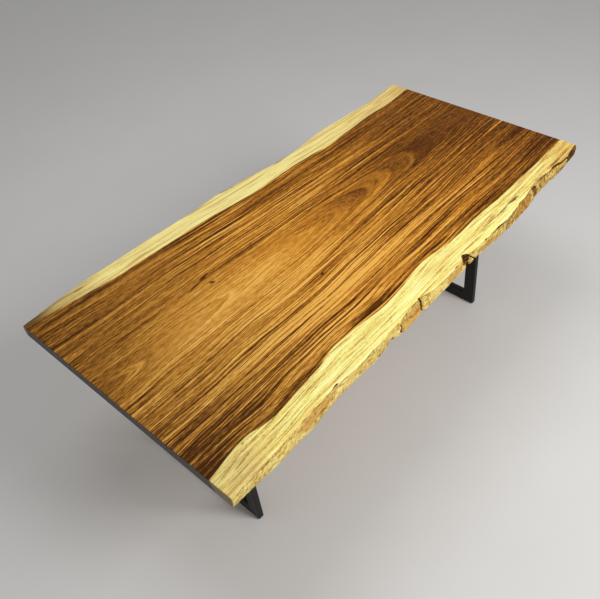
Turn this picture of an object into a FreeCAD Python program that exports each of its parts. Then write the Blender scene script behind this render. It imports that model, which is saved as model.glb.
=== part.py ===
import FreeCAD, Part
import os

# Live edge dining table: one natural slab on two closed loop leg frames of black steel tube.
# Millimetres. Origin on the floor under the middle of the slab, +Z up, +X along the slab to its
# right end. The front long edge is at -Y and the rear one at +Y.

# Slab
SLAB_LENGTH = 2000.0
SLAB_WIDTH = 1076.0
SLAB_THICKNESS = 50.0
TABLE_HEIGHT = 745.0
EDGE_BELLY = 4.0
EDGE_EASE = 2.0

# Live edges: places along the slab as shares of its length, and there each edge's reach from the
# middle line at the top face and at the underside, as shares of half the width without the belly.
STATION_SHARES = [-0.5, -0.415, -0.345, -0.265, -0.22, -0.17, -0.13, -0.095, -0.045,
                  -0.01, 0.08, 0.155, 0.24, 0.31, 0.395, 0.445, 0.5]
FRONT_TOP_SHARES = [1.0, 0.978, 0.957, 0.937, 0.948, 0.94, 0.931, 0.922, 0.906,
                    0.92, 0.923, 0.925, 0.917, 0.885, 0.878, 0.9, 0.884]
FRONT_BOTTOM_SHARES = [1.0, 0.999, 0.991, 0.968, 0.96, 0.96, 0.942, 0.957, 0.944,
                       0.941, 0.934, 0.93, 0.937, 0.922, 0.9, 0.898, 0.882]
REAR_TOP_SHARES = [0.972, 0.993, 1.0, 0.989, 0.98, 0.967, 0.962, 0.958, 0.958,
                   0.94, 0.898, 0.87, 0.886, 0.876, 0.85, 0.84, 0.858]
REAR_BOTTOM_SHARES = [0.985, 0.998, 1.0, 0.996, 0.991, 0.985, 0.978, 0.972, 0.97,
                      0.955, 0.918, 0.896, 0.902, 0.89, 0.868, 0.862, 0.872]
BELLY_HEIGHT_SHARE = 0.45

# Leg frames
FRAME_WIDTH = 540.0
LEFT_FRAME_INSET = 225.0
RIGHT_FRAME_INSET = 335.0
TUBE_FACE = 50.0
TUBE_DEPTH = 25.0
TUBE_WALL = 3.0
TUBE_CORNER_RADIUS = 4.0

# Mounting plates
PLATE_THICKNESS = 6.0
PLATE_WIDTH = 100.0
PLATE_END_INSET = 15.0
PLATE_CORNER_RADIUS = 8.0
SLOT_LENGTH = 20.0
SLOT_EDGE_MARGIN = 17.0
SLOT_END_MARGIN = 55.0
SLOT_ROWS = 3

# Bolts, washers and threaded inserts
BOLT_RADIUS = 4.0
BOLT_HEAD_FLATS = 13.0
BOLT_HEAD_HEIGHT = 5.3
BOLT_TIP_CHAMFER = 1.0
BOLT_TIP_GAP = 3.0
WASHER_RADIUS = 12.0
WASHER_THICKNESS = 2.0
INSERT_WALL = 2.2
INSERT_LENGTH = 25.0
HEX_SIDES = 6

# Levelling glides
GLIDE_INSET = 65.0
GLIDE_TRAVEL = 8.0
STEM_RADIUS = 4.0
STEM_TIP_CHAMFER = 0.8
NUT_WALL = 1.6
NUT_LENGTH = 14.0
NUT_FLANGE_RADIUS = 9.0
NUT_FLANGE_THICKNESS = 1.0
PAD_RADIUS = 11.0
PAD_HEIGHT = 4.0
PAD_EDGE_RADIUS = 1.0
PAD_SOCKET_DEPTH = 2.5

# Clearances, and the overrun of every cut
BOLT_HOLE_CLEARANCE = 0.5
THREAD_CLEARANCE = 0.05
SEAT_CLEARANCE = 0.05
INSERT_END_CLEARANCE = 2.0
CUT_OVERRUN = 5.0

# Sizes that follow from those above
SLAB_BOTTOM = TABLE_HEIGHT - SLAB_THICKNESS
FRAME_TOP = SLAB_BOTTOM - PLATE_THICKNESS
FRAME_BOTTOM = PAD_HEIGHT + NUT_FLANGE_THICKNESS
FRAME_HEIGHT = FRAME_TOP - FRAME_BOTTOM
PLATE_LENGTH = FRAME_WIDTH - 2 * PLATE_END_INSET
INSERT_RADIUS = BOLT_RADIUS + THREAD_CLEARANCE + INSERT_WALL
NUT_RADIUS = STEM_RADIUS + THREAD_CLEARANCE + NUT_WALL
SLOT_HALF_WIDTH = BOLT_RADIUS + BOLT_HOLE_CLEARANCE
GLIDE_OFFSET = FRAME_WIDTH / 2 - GLIDE_INSET
FRAME_PLACES = {
    "left": -SLAB_LENGTH / 2 + LEFT_FRAME_INSET + TUBE_DEPTH / 2,
    "right": SLAB_LENGTH / 2 - RIGHT_FRAME_INSET - TUBE_DEPTH / 2,
}
SIDE_SIGNS = {"front": -1, "rear": 1}

UP = FreeCAD.Vector(0, 0, 1)
ALONG_X = FreeCAD.Vector(1, 0, 0)


def disc(radius, height, x, y, z):
    """Upright cylinder whose lower face is centred on (x, y, z)."""
    return Part.makeCylinder(radius, height, FreeCAD.Vector(x, y, z), UP)


def ring(outer_radius, inner_radius, height, x, y, z):
    """Upright tube whose lower face is centred on (x, y, z)."""
    bore = disc(inner_radius, height + 2 * CUT_OVERRUN, x, y, z - CUT_OVERRUN)
    return disc(outer_radius, height, x, y, z).cut(bore)


def centred_box(size_x, size_y, size_z, z):
    """Box centred on the Z axis, standing on height z."""
    corner = FreeCAD.Vector(-size_x / 2, -size_y / 2, z)
    return Part.makeBox(size_x, size_y, size_z, corner)


def edges_along(shape, direction):
    """Straight edges of a box that run along one axis."""
    found = []
    for edge in shape.Edges:
        if abs(edge.tangentAt(edge.FirstParameter).dot(direction)) > 0.99:
            found.append(edge)
    return found


def live_edge(shares, sign, end_inset, growth, z):
    """Spline along one long edge of the slab at height z, from the left end to the right end."""
    run = SLAB_LENGTH - 2 * end_inset
    reach = SLAB_WIDTH / 2 - EDGE_BELLY
    points = []
    for station, share in zip(STATION_SHARES, shares):
        points.append(FreeCAD.Vector(station * run, sign * (share * reach + growth), z))
    curve = Part.BSplineCurve()
    curve.interpolate(points)
    return curve.toShape(), points[0], points[-1]


def slab_outline(front_shares, rear_shares, end_inset, growth, z):
    """Closed outline of the slab at height z: two live edges joined by two straight cut ends."""
    front, front_left, front_right = live_edge(front_shares, SIDE_SIGNS["front"], end_inset, growth, z)
    rear, rear_left, rear_right = live_edge(rear_shares, SIDE_SIGNS["rear"], end_inset, growth, z)
    right_end = Part.makeLine(front_right, rear_right)
    left_end = Part.makeLine(rear_left, front_left)
    return Part.Wire([front, right_end, rear, left_end])


def halfway(first_shares, second_shares):
    """Shares midway between two lists."""
    return [(first + second) / 2 for first, second in zip(first_shares, second_shares)]


def bolt_places(frame_x):
    """Places of one frame's bolts: a row on each side of the top rail."""
    offset_x = PLATE_WIDTH / 2 - SLOT_EDGE_MARGIN
    reach_y = PLATE_LENGTH / 2 - SLOT_END_MARGIN
    places = []
    for row in range(SLOT_ROWS):
        y = reach_y * (2 * row / (SLOT_ROWS - 1) - 1)
        places.append((frame_x - offset_x, y))
        places.append((frame_x + offset_x, y))
    return places


def live_edge_slab():
    """Slab with eased arrises, bellied live edges and blind holes for the inserts."""
    front_middle = halfway(FRONT_TOP_SHARES, FRONT_BOTTOM_SHARES)
    rear_middle = halfway(REAR_TOP_SHARES, REAR_BOTTOM_SHARES)
    belly_z = SLAB_BOTTOM + SLAB_THICKNESS * BELLY_HEIGHT_SHARE
    outlines = [
        slab_outline(FRONT_BOTTOM_SHARES, REAR_BOTTOM_SHARES, EDGE_EASE, -EDGE_EASE, SLAB_BOTTOM),
        slab_outline(FRONT_BOTTOM_SHARES, REAR_BOTTOM_SHARES, 0, 0, SLAB_BOTTOM + EDGE_EASE),
        slab_outline(front_middle, rear_middle, 0, EDGE_BELLY, belly_z),
        slab_outline(FRONT_TOP_SHARES, REAR_TOP_SHARES, 0, 0, TABLE_HEIGHT - EDGE_EASE),
        slab_outline(FRONT_TOP_SHARES, REAR_TOP_SHARES, EDGE_EASE, -EDGE_EASE, TABLE_HEIGHT),
    ]
    slab = Part.makeLoft(outlines, True, True)
    depth = INSERT_LENGTH + INSERT_END_CLEARANCE
    for frame_x in FRAME_PLACES.values():
        for x, y in bolt_places(frame_x):
            hole = disc(INSERT_RADIUS + SEAT_CLEARANCE, depth + CUT_OVERRUN, x, y,
                        SLAB_BOTTOM - CUT_OVERRUN)
            slab = slab.cut(hole)
    return slab


def mitred_tube(length):
    """Rectangular tube along Y, mitred at both ends, with its long outer face at z = 0."""
    outer = centred_box(TUBE_DEPTH, length, TUBE_FACE, 0)
    outer = outer.makeFillet(TUBE_CORNER_RADIUS, edges_along(outer, FreeCAD.Vector(0, 1, 0)))
    bore = centred_box(TUBE_DEPTH - 2 * TUBE_WALL, length + 2 * CUT_OVERRUN,
                       TUBE_FACE - 2 * TUBE_WALL, TUBE_WALL)
    half = length / 2
    side = -TUBE_DEPTH / 2 - CUT_OVERRUN
    corners = [(-half, 0), (half, 0), (half - TUBE_FACE, TUBE_FACE), (TUBE_FACE - half, TUBE_FACE)]
    points = [FreeCAD.Vector(side, y, z) for y, z in corners]
    mitres = Part.Face(Part.makePolygon(points + points[:1]))
    mitres = mitres.extrude(ALONG_X * (TUBE_DEPTH + 2 * CUT_OVERRUN))
    return outer.cut(bore).common(mitres)


def turned(shape, degrees, place):
    """Copy of a shape turned about the X axis and moved to its place."""
    copy = shape.copy()
    copy.rotate(FreeCAD.Vector(0, 0, 0), ALONG_X, degrees)
    copy.translate(place)
    return copy


def frame_tubes(frame_x):
    """The four mitred tubes of one closed leg frame."""
    rail = mitred_tube(FRAME_WIDTH)
    upright = mitred_tube(FRAME_HEIGHT)
    middle_z = (FRAME_TOP + FRAME_BOTTOM) / 2
    bottom_rail = turned(rail, 0, FreeCAD.Vector(frame_x, 0, FRAME_BOTTOM))
    for sign in SIDE_SIGNS.values():
        hole = disc(NUT_RADIUS + SEAT_CLEARANCE, TUBE_WALL + 2 * CUT_OVERRUN, frame_x,
                    sign * GLIDE_OFFSET, FRAME_BOTTOM - CUT_OVERRUN)
        bottom_rail = bottom_rail.cut(hole)
    return {
        "bottom_rail": bottom_rail,
        "top_rail": turned(rail, 180, FreeCAD.Vector(frame_x, 0, FRAME_TOP)),
        "front_upright": turned(upright, -90, FreeCAD.Vector(frame_x, -FRAME_WIDTH / 2, middle_z)),
        "rear_upright": turned(upright, 90, FreeCAD.Vector(frame_x, FRAME_WIDTH / 2, middle_z)),
    }


def slot(x, y):
    """Cutter for one slotted hole, long across the slab so that the wood can move."""
    straight = SLOT_LENGTH - 2 * SLOT_HALF_WIDTH
    height = PLATE_THICKNESS + 2 * CUT_OVERRUN
    z = FRAME_TOP - CUT_OVERRUN
    cutter = centred_box(2 * SLOT_HALF_WIDTH, straight, height, z)
    cutter.translate(FreeCAD.Vector(x, y, 0))
    for sign in SIDE_SIGNS.values():
        cutter = cutter.fuse(disc(SLOT_HALF_WIDTH, height, x, y + sign * straight / 2, z))
    return cutter.removeSplitter()


def mounting_plate(frame_x):
    """Flat plate on the top rail, with rounded corners and slotted holes."""
    plate = centred_box(PLATE_WIDTH, PLATE_LENGTH, PLATE_THICKNESS, FRAME_TOP)
    plate = plate.makeFillet(PLATE_CORNER_RADIUS, edges_along(plate, UP))
    plate.translate(FreeCAD.Vector(frame_x, 0, 0))
    for x, y in bolt_places(frame_x):
        plate = plate.cut(slot(x, y))
    return plate


def hexagon_bolt(x, y):
    """Hexagon head bolt pointing up, with its head under the washer."""
    seat = FRAME_TOP - WASHER_THICKNESS
    corner_circle = Part.makeCircle(BOLT_HEAD_FLATS / 3 ** 0.5)
    corners = corner_circle.discretize(HEX_SIDES + 1)
    head = Part.Face(Part.makePolygon(corners)).extrude(UP * BOLT_HEAD_HEIGHT)
    head.translate(FreeCAD.Vector(x, y, seat - BOLT_HEAD_HEIGHT))
    reach = WASHER_THICKNESS + PLATE_THICKNESS + INSERT_LENGTH - BOLT_TIP_GAP
    shank = disc(BOLT_RADIUS, reach, x, y, seat)
    tip = [edge for edge in shank.Edges if edge.BoundBox.ZMin > seat + reach / 2]
    shank = shank.makeChamfer(BOLT_TIP_CHAMFER, tip)
    return head.fuse(shank).removeSplitter()


def plate_fasteners(frame_x):
    """Groups of bolts, washers and threaded inserts that hold one plate to the slab."""
    bolts, washers, inserts = [], [], []
    for x, y in bolt_places(frame_x):
        bolts.append(hexagon_bolt(x, y))
        washers.append(ring(WASHER_RADIUS, BOLT_RADIUS + BOLT_HOLE_CLEARANCE, WASHER_THICKNESS,
                            x, y, FRAME_TOP - WASHER_THICKNESS))
        inserts.append(ring(INSERT_RADIUS, BOLT_RADIUS + THREAD_CLEARANCE, INSERT_LENGTH,
                            x, y, SLAB_BOTTOM))
    return {
        "plate_bolts": Part.makeCompound(bolts),
        "plate_washers": Part.makeCompound(washers),
        "slab_inserts": Part.makeCompound(inserts),
    }


def glide_nut(x, y):
    """Flanged threaded nut in the lower wall of the bottom rail."""
    bore = STEM_RADIUS + THREAD_CLEARANCE
    flange = ring(NUT_FLANGE_RADIUS, bore, NUT_FLANGE_THICKNESS, x, y, PAD_HEIGHT)
    sleeve = ring(NUT_RADIUS, bore, NUT_LENGTH, x, y, FRAME_BOTTOM)
    return flange.fuse(sleeve).removeSplitter()


def glide_stem(x, y):
    """Threaded stem, seated in its pad and screwed right in."""
    seat = PAD_HEIGHT - PAD_SOCKET_DEPTH
    reach = PAD_SOCKET_DEPTH + NUT_FLANGE_THICKNESS + NUT_LENGTH + GLIDE_TRAVEL
    stem = disc(STEM_RADIUS, reach, x, y, seat)
    tip = [edge for edge in stem.Edges if edge.BoundBox.ZMin > seat + reach / 2]
    return stem.makeChamfer(STEM_TIP_CHAMFER, tip)


def glide_pad(x, y):
    """Low round pad with an eased lower edge and a socket for the stem."""
    pad = disc(PAD_RADIUS, PAD_HEIGHT, x, y, 0)
    rim = [edge for edge in pad.Edges if edge.BoundBox.ZMax < PAD_HEIGHT / 2]
    pad = pad.makeFillet(PAD_EDGE_RADIUS, rim)
    socket = disc(STEM_RADIUS + SEAT_CLEARANCE, PAD_SOCKET_DEPTH + CUT_OVERRUN, x, y,
                  PAD_HEIGHT - PAD_SOCKET_DEPTH)
    return pad.cut(socket)


def build():
    """Every piece of the table by its name."""
    pieces = {"live_edge_slab": live_edge_slab()}
    for end, frame_x in FRAME_PLACES.items():
        for name, tube in frame_tubes(frame_x).items():
            pieces[f"{end}_frame_{name}"] = tube
        pieces[f"{end}_mounting_plate"] = mounting_plate(frame_x)
        for name, group in plate_fasteners(frame_x).items():
            pieces[f"{end}_{name}"] = group
        nuts = [glide_nut(frame_x, sign * GLIDE_OFFSET) for sign in SIDE_SIGNS.values()]
        pieces[f"{end}_glide_nuts"] = Part.makeCompound(nuts)
        for side, sign in SIDE_SIGNS.items():
            pieces[f"{end}_{side}_glide_stem"] = glide_stem(frame_x, sign * GLIDE_OFFSET)
            pieces[f"{end}_{side}_glide_pad"] = glide_pad(frame_x, sign * GLIDE_OFFSET)
    return pieces


os.makedirs("parts", exist_ok=True)
for node, shape in build().items():
    shape.exportStep(f"parts/{node}.step")
    print(f"{node}: {len(shape.Solids)} solids, {shape.Volume / 1e3:.1f} cm3, valid {shape.isValid()}")
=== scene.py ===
"""Looks of the live edge dining table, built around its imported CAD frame, in metres."""

import logging
import math
from dataclasses import dataclass
from enum import Enum
from typing import Any, Union

import bpy
import numpy as np
from mathutils import Matrix, Vector


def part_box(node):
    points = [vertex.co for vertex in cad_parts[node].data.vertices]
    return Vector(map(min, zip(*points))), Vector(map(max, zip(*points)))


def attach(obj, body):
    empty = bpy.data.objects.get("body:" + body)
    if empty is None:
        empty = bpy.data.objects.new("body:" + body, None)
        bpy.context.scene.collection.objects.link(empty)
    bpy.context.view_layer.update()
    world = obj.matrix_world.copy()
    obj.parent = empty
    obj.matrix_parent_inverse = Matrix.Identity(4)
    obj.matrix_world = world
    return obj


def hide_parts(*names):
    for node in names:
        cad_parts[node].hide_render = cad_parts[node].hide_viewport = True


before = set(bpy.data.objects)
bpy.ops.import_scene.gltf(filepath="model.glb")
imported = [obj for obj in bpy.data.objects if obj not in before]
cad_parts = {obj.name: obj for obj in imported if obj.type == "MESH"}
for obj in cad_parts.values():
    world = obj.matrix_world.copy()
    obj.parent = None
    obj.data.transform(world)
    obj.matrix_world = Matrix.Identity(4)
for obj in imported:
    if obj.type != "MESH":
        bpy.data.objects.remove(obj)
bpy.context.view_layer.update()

LOG = logging.getLogger("live_edge_table")
LATTICE = 256
OPAQUE = 1.0

Colour = tuple[float, float, float, float]
Stops = tuple[tuple[float, Colour], ...]
Knots = tuple[tuple[float, float], ...]
Key = Union[int, str]
Operand = Union["Wire", float]
Place = tuple[Operand, Operand, Operand]

WHITE: Colour = (1.0, 1.0, 1.0, OPAQUE)


class Side(Enum):
    """The two long sides of the table, with the sign of Y on each."""

    FRONT = -1
    REAR = 1


class End(Enum):
    """The two ends of the table, each on its own leg frame."""

    LEFT = "left"
    RIGHT = "right"


class Body(Enum):
    """Bodies of the frame that new pieces ride on."""

    TABLE = "table"
    LEFT_FRONT = "left_front_glide"
    LEFT_REAR = "left_rear_glide"
    RIGHT_FRONT = "right_front_glide"
    RIGHT_REAR = "right_rear_glide"


class Slot(Enum):
    """Material slots of the record."""

    SLAB_WOOD = "slab_wood"
    FRAME_STEEL = "frame_steel"
    FASTENER_STEEL = "fastener_steel"
    INSERT_BRASS = "insert_brass"
    GLIDE_PLASTIC = "glide_plastic"


class Streak(Enum):
    """Layers of streaks in the wood: length, width, seed, octaves of finer streaks and their weight."""

    BROAD = (1.10, 0.026, 2.0, 1.0, 0.5)
    PATCHES = (0.45, 0.045, 29.0, 1.0, 0.5)
    RIBS = (0.90, 0.0105, 11.0, 0.0, 0.5)
    LINES = (0.55, 0.0054, 21.0, 1.0, 0.6)
    FINE_LINES = (0.28, 0.0034, 25.0, 0.0, 0.5)
    PORES = (0.024, 0.0011, 47.0, 0.0, 0.5)
    DARK_BANDS = (0.60, 0.0085, 33.0, 1.0, 0.5)
    DARK_HAIRS = (0.55, 0.016, 71.0, 1.0, 0.5)
    PALE_HAIRS = (0.45, 0.019, 73.0, 1.0, 0.5)
    BORDER_PATCHES = (0.16, 0.05, 77.0, 1.0, 0.5)
    RAGGED = (0.20, 0.0045, 55.0, 1.0, 0.5)
    SAP_BANDS = (0.30, 0.014, 61.0, 1.0, 0.7)
    SAP_LINES = (0.14, 0.0064, 63.0, 0.0, 0.5)
    SAP_FINE_LINES = (0.09, 0.0032, 65.0, 0.0, 0.5)
    SAP_HAIRS = (0.40, 0.012, 69.0, 1.0, 0.5)
    SAP_WARMTH = (0.40, 0.030, 83.0, 2.0, 0.5)
    SAP_STRAW = (0.45, 0.015, 67.0, 1.0, 0.6)
    SAP_GREYS = (0.30, 0.008, 87.0, 2.0, 0.6)
    SAP_FINGERS = (0.22, 0.007, 95.0, 2.0, 0.6)


def display_colour(red: float, green: float, blue: float) -> Colour:
    """Linear colour from values of 0 to 255 as a screen shows them.

    Args:
        red: red value.
        green: green value.
        blue: blue value.

    Returns:
        The colour as Blender's sockets take it.
    """
    levels = np.array([red, green, blue]) / 255.0
    linear = np.where(levels <= 0.04045, levels / 12.92, ((levels + 0.055) / 1.055) ** 2.4)
    return (*linear.tolist(), OPAQUE)


def shades(*stops: tuple[float, int, int, int]) -> Stops:
    """Stops of a colour ramp, each from its place and its red, green and blue."""
    return tuple((place, display_colour(*levels)) for place, *levels in stops)


def eased(value: np.ndarray) -> np.ndarray:
    """Value cut to 0..1 and eased by t * t * (3 - 2t)."""
    t = np.clip(value, 0.0, 1.0)
    return t * t * (3.0 - 2.0 * t)


def rough_field(u: np.ndarray, v: np.ndarray, seed: int) -> np.ndarray:
    """Smooth random heights from -1 to 1.

    Random heights sit on the whole-number points of a square lattice. Between them the height is
    eased by t * t * (3 - 2t) both ways.

    Args:
        u: first coordinate, in lattice steps.
        v: second coordinate, in lattice steps.
        seed: picks the set of heights.

    Returns:
        The height at each point.
    """
    heights = np.random.default_rng(seed).uniform(-1.0, 1.0, (LATTICE, LATTICE))
    u, v = np.broadcast_arrays(u, v)
    u_cell, v_cell = np.floor(u).astype(int), np.floor(v).astype(int)
    u_share, v_share = eased(u - u_cell), eased(v - v_cell)
    near, far = u_cell % LATTICE, (u_cell + 1) % LATTICE
    low, high = v_cell % LATTICE, (v_cell + 1) % LATTICE
    start = heights[near, low] * (1 - v_share) + heights[near, high] * v_share
    end = heights[far, low] * (1 - v_share) + heights[far, high] * v_share
    return start * (1 - u_share) + end * u_share


def smooth_line(knots: Knots, x: np.ndarray) -> np.ndarray:
    """Cubic line through knots, whose slope at each knot follows its two neighbours.

    Args:
        knots: pairs of a place along the slab and a value there.
        x: places to read the line at.

    Returns:
        The line's value at each place.
    """
    places, values = np.array(knots).T
    slopes = np.gradient(values, places)
    cell = np.clip(np.searchsorted(places, x) - 1, 0, len(places) - 2)
    step = places[cell + 1] - places[cell]
    t = np.clip((x - places[cell]) / step, 0.0, 1.0)
    rise = eased(t)
    leave = slopes[cell] * step * t * (1 - t) ** 2
    arrive = slopes[cell + 1] * step * t * t * (1 - t)
    return values[cell] * (1 - rise) + values[cell + 1] * rise + leave - arrive


class Wire:
    """A shader socket that takes part in Python expressions."""

    def __init__(self, bench: "Bench", socket: bpy.types.NodeSocket) -> None:
        """Holds a socket and the bench whose tree it is in."""
        self.bench = bench
        self.socket = socket

    def sibling(self, out: Key) -> "Wire":
        """Another output of the same node."""
        return Wire(self.bench, self.socket.node.outputs[out])

    def math(self, operation: str, *operands: Operand) -> "Wire":
        """One Math node on these operands."""
        return self.bench.node("ShaderNodeMath", {"operation": operation}, dict(enumerate(operands)))

    def __add__(self, other: Operand) -> "Wire":
        """Sum of this value and another."""
        return self.math("ADD", self, other)

    def __radd__(self, other: Operand) -> "Wire":
        """Sum of another value and this one."""
        return self.math("ADD", other, self)

    def __sub__(self, other: Operand) -> "Wire":
        """This value less another."""
        return self.math("SUBTRACT", self, other)

    def __rsub__(self, other: Operand) -> "Wire":
        """Another value less this one."""
        return self.math("SUBTRACT", other, self)

    def __mul__(self, other: Operand) -> "Wire":
        """Product of this value and another."""
        return self.math("MULTIPLY", self, other)

    def __rmul__(self, other: Operand) -> "Wire":
        """Product of another value and this one."""
        return self.math("MULTIPLY", other, self)

    def __truediv__(self, other: Operand) -> "Wire":
        """This value over another."""
        return self.math("DIVIDE", self, other)

    def __rtruediv__(self, other: Operand) -> "Wire":
        """Another value over this one."""
        return self.math("DIVIDE", other, self)

    def size(self) -> "Wire":
        """This value without its sign."""
        return self.math("ABSOLUTE", self)

    def root(self) -> "Wire":
        """Square root of this value."""
        return self.math("SQRT", self)

    def greater(self, other: Operand) -> "Wire":
        """The larger of this value and another."""
        return self.math("MAXIMUM", self, other)

    def bell(self, middle: Operand, spread: float) -> "Wire":
        """Bell curve: 1 at the middle, exp(-t * t) at t spreads from it."""
        offset = (self - middle) / spread
        return self.math("EXPONENT", offset * offset * -1.0)

    def step(self, low: float, high: float) -> "Wire":
        """Eased step: 0 at low, 1 at high."""
        settings = {"interpolation_type": "SMOOTHSTEP"}
        return self.bench.node("ShaderNodeMapRange", settings, {0: self, 1: low, 2: high, 3: 0.0, 4: 1.0})


class Bench:
    """Node tree of one material or world, and the ways to add to it."""

    def __init__(self, owner: Union[bpy.types.Material, bpy.types.World]) -> None:
        """Empties a node tree.

        Args:
            owner: the new material or world that it belongs to.
        """
        owner.use_nodes = True
        self.owner = owner
        self.tree = owner.node_tree
        self.tree.nodes.clear()

    def node(self, kind: str, settings: dict[str, Any] | None = None,
             sockets: dict[Key, Any] | None = None, out: Key = 0) -> Wire:
        """Adds any node.

        Args:
            kind: the node's Blender type.
            settings: its own settings, set first; stops are a colour ramp's places and colours.
            sockets: values or wires for its inputs.
            out: the output that is wanted.

        Returns:
            The wire of that output.
        """
        made = self.tree.nodes.new(kind)
        for name, value in (settings or {}).items():
            if name == "stops":
                self.set_stops(made.color_ramp, value)
            else:
                setattr(made, name, value)
        for key, value in (sockets or {}).items():
            if isinstance(value, Wire):
                self.tree.links.new(value.socket, made.inputs[key])
            else:
                made.inputs[key].default_value = value
        return Wire(self, made.outputs[out])

    @staticmethod
    def set_stops(ramp: bpy.types.ColorRamp, stops: Stops) -> None:
        """Gives a colour ramp its stops.

        Args:
            ramp: the ramp of a new node, which starts with two stops.
            stops: places and colours, in order of place.
        """
        while len(ramp.elements) < len(stops):
            ramp.elements.new(1.0)
        for element, (place, colour) in zip(ramp.elements, stops):
            element.position = place
            element.color = colour

    def place(self) -> tuple[Wire, Wire, Wire]:
        """Object coordinates, as three values."""
        return self.split(self.node("ShaderNodeTexCoord", out="Object"))

    def split(self, vector: Wire) -> tuple[Wire, Wire, Wire]:
        """The three values of a vector."""
        first = self.node("ShaderNodeSeparateXYZ", None, {0: vector})
        return first, first.sibling(1), first.sibling(2)

    def attribute(self, name: str, out: str) -> Wire:
        """Attribute of the mesh, as the named output gives it."""
        return self.node("ShaderNodeAttribute", {"attribute_name": name}, None, out)

    def noise(self, place: Place, detail: float = 2.0, roughness: float = 0.5) -> Wire:
        """Noise about 0.

        Args:
            place: three coordinates, already in noise steps.
            detail: octaves of finer noise.
            roughness: weight of the finer noise.

        Returns:
            The noise, from about -0.5 to 0.5.
        """
        vector = self.node("ShaderNodeCombineXYZ", None, dict(enumerate(place)))
        sockets = {"Vector": vector, "Scale": 1.0, "Detail": detail, "Roughness": roughness}
        return self.node("ShaderNodeTexNoise", None, sockets) - 0.5

    def blots(self, size: float, detail: float = 1.0) -> Wire:
        """Noise about 0 with blots of one size in every direction."""
        x, y, z = self.place()
        return self.noise((x / size, y / size, z / size), detail)

    def mix(self, factor: Operand, start: Any, end: Any) -> Wire:
        """Colour between two colours."""
        settings = {"data_type": "RGBA", "clamp_factor": True}
        return self.node("ShaderNodeMix", settings, {0: factor, 6: start, 7: end}, 2)

    def ramp(self, value: Wire, stops: Stops) -> Wire:
        """Colour from a ramp."""
        return self.node("ShaderNodeValToRGB", {"stops": stops}, {0: value})

    def bump(self, height: Wire, strength: float, distance: float) -> Wire:
        """Normal from a height map; a height of 1 stands for the distance, in metres."""
        sockets = {"Strength": strength, "Distance": distance, "Height": height}
        return self.node("ShaderNodeBump", None, sockets)

    def surface(self, sockets: dict[str, Any]) -> bpy.types.Material:
        """Ends the tree in a Principled shader.

        Args:
            sockets: values or wires for the shader's inputs.

        Returns:
            The finished material.
        """
        return self.end("ShaderNodeOutputMaterial", self.node("ShaderNodeBsdfPrincipled", None, sockets))

    def end(self, kind: str, shader: Wire) -> Any:
        """Ends the tree in an output node.

        Args:
            kind: the output node's Blender type.
            shader: the shader that is put out.

        Returns:
            The finished material or world.
        """
        output = self.tree.nodes.new(kind)
        self.tree.links.new(shader.socket, output.inputs["Surface"])
        return self.owner


@dataclass(frozen=True)
class Knot:
    """A knot or dark fleck on the top: its middle, half sizes along and across, turn and strength."""

    x: float
    y: float
    half_length: float
    half_width: float
    turn: float
    strength: float

    def mask(self, wood: "SlabWood") -> Wire:
        """Soft ellipse with a wavering rim.

        Args:
            wood: the wood that it is in.

        Returns:
            Its strength inside, 0 outside.
        """
        cosine, sine = math.cos(self.turn), math.sin(self.turn)
        dx, dy = wood.x - self.x, wood.y - self.y
        along = (dx * cosine + dy * sine) / self.half_length
        across = (dy * cosine - dx * sine) / self.half_width
        reach = (along * along + across * across).root() + wood.mottle * 1.2
        return reach.step(1.15, 0.35) * self.strength


@dataclass(frozen=True)
class Figure:
    """A bowed streak on the top: its middle, half length, fall at its ends, half width and tone."""

    x: float
    y: float
    half_length: float
    fall: float
    half_width: float
    tone: float

    def shade(self, wood: "SlabWood") -> Wire:
        """Bell across the parabola of the streak, fading out along it.

        Args:
            wood: the wood that it is in.

        Returns:
            Tone to add.
        """
        along = (wood.x - self.x) / self.half_length
        middle = along * along * -self.fall + self.y
        return wood.y.bell(middle, self.half_width) * along.bell(0.0, 0.9) * self.tone


@dataclass(frozen=True)
class ToneAndLightPatch:
    """A broad patch of lighter or darker heartwood, partly the wood's own tone and partly painted light:
    middle and spread along and across, and tone.
    """

    x: float
    x_spread: float
    y: float
    y_spread: float
    tone: float

    def shade(self, wood: "SlabWood") -> Wire:
        """Tone to add: a bell along times a bell across."""
        return wood.along.bell(self.x, self.x_spread) * wood.y.bell(self.y, self.y_spread) * self.tone


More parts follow.
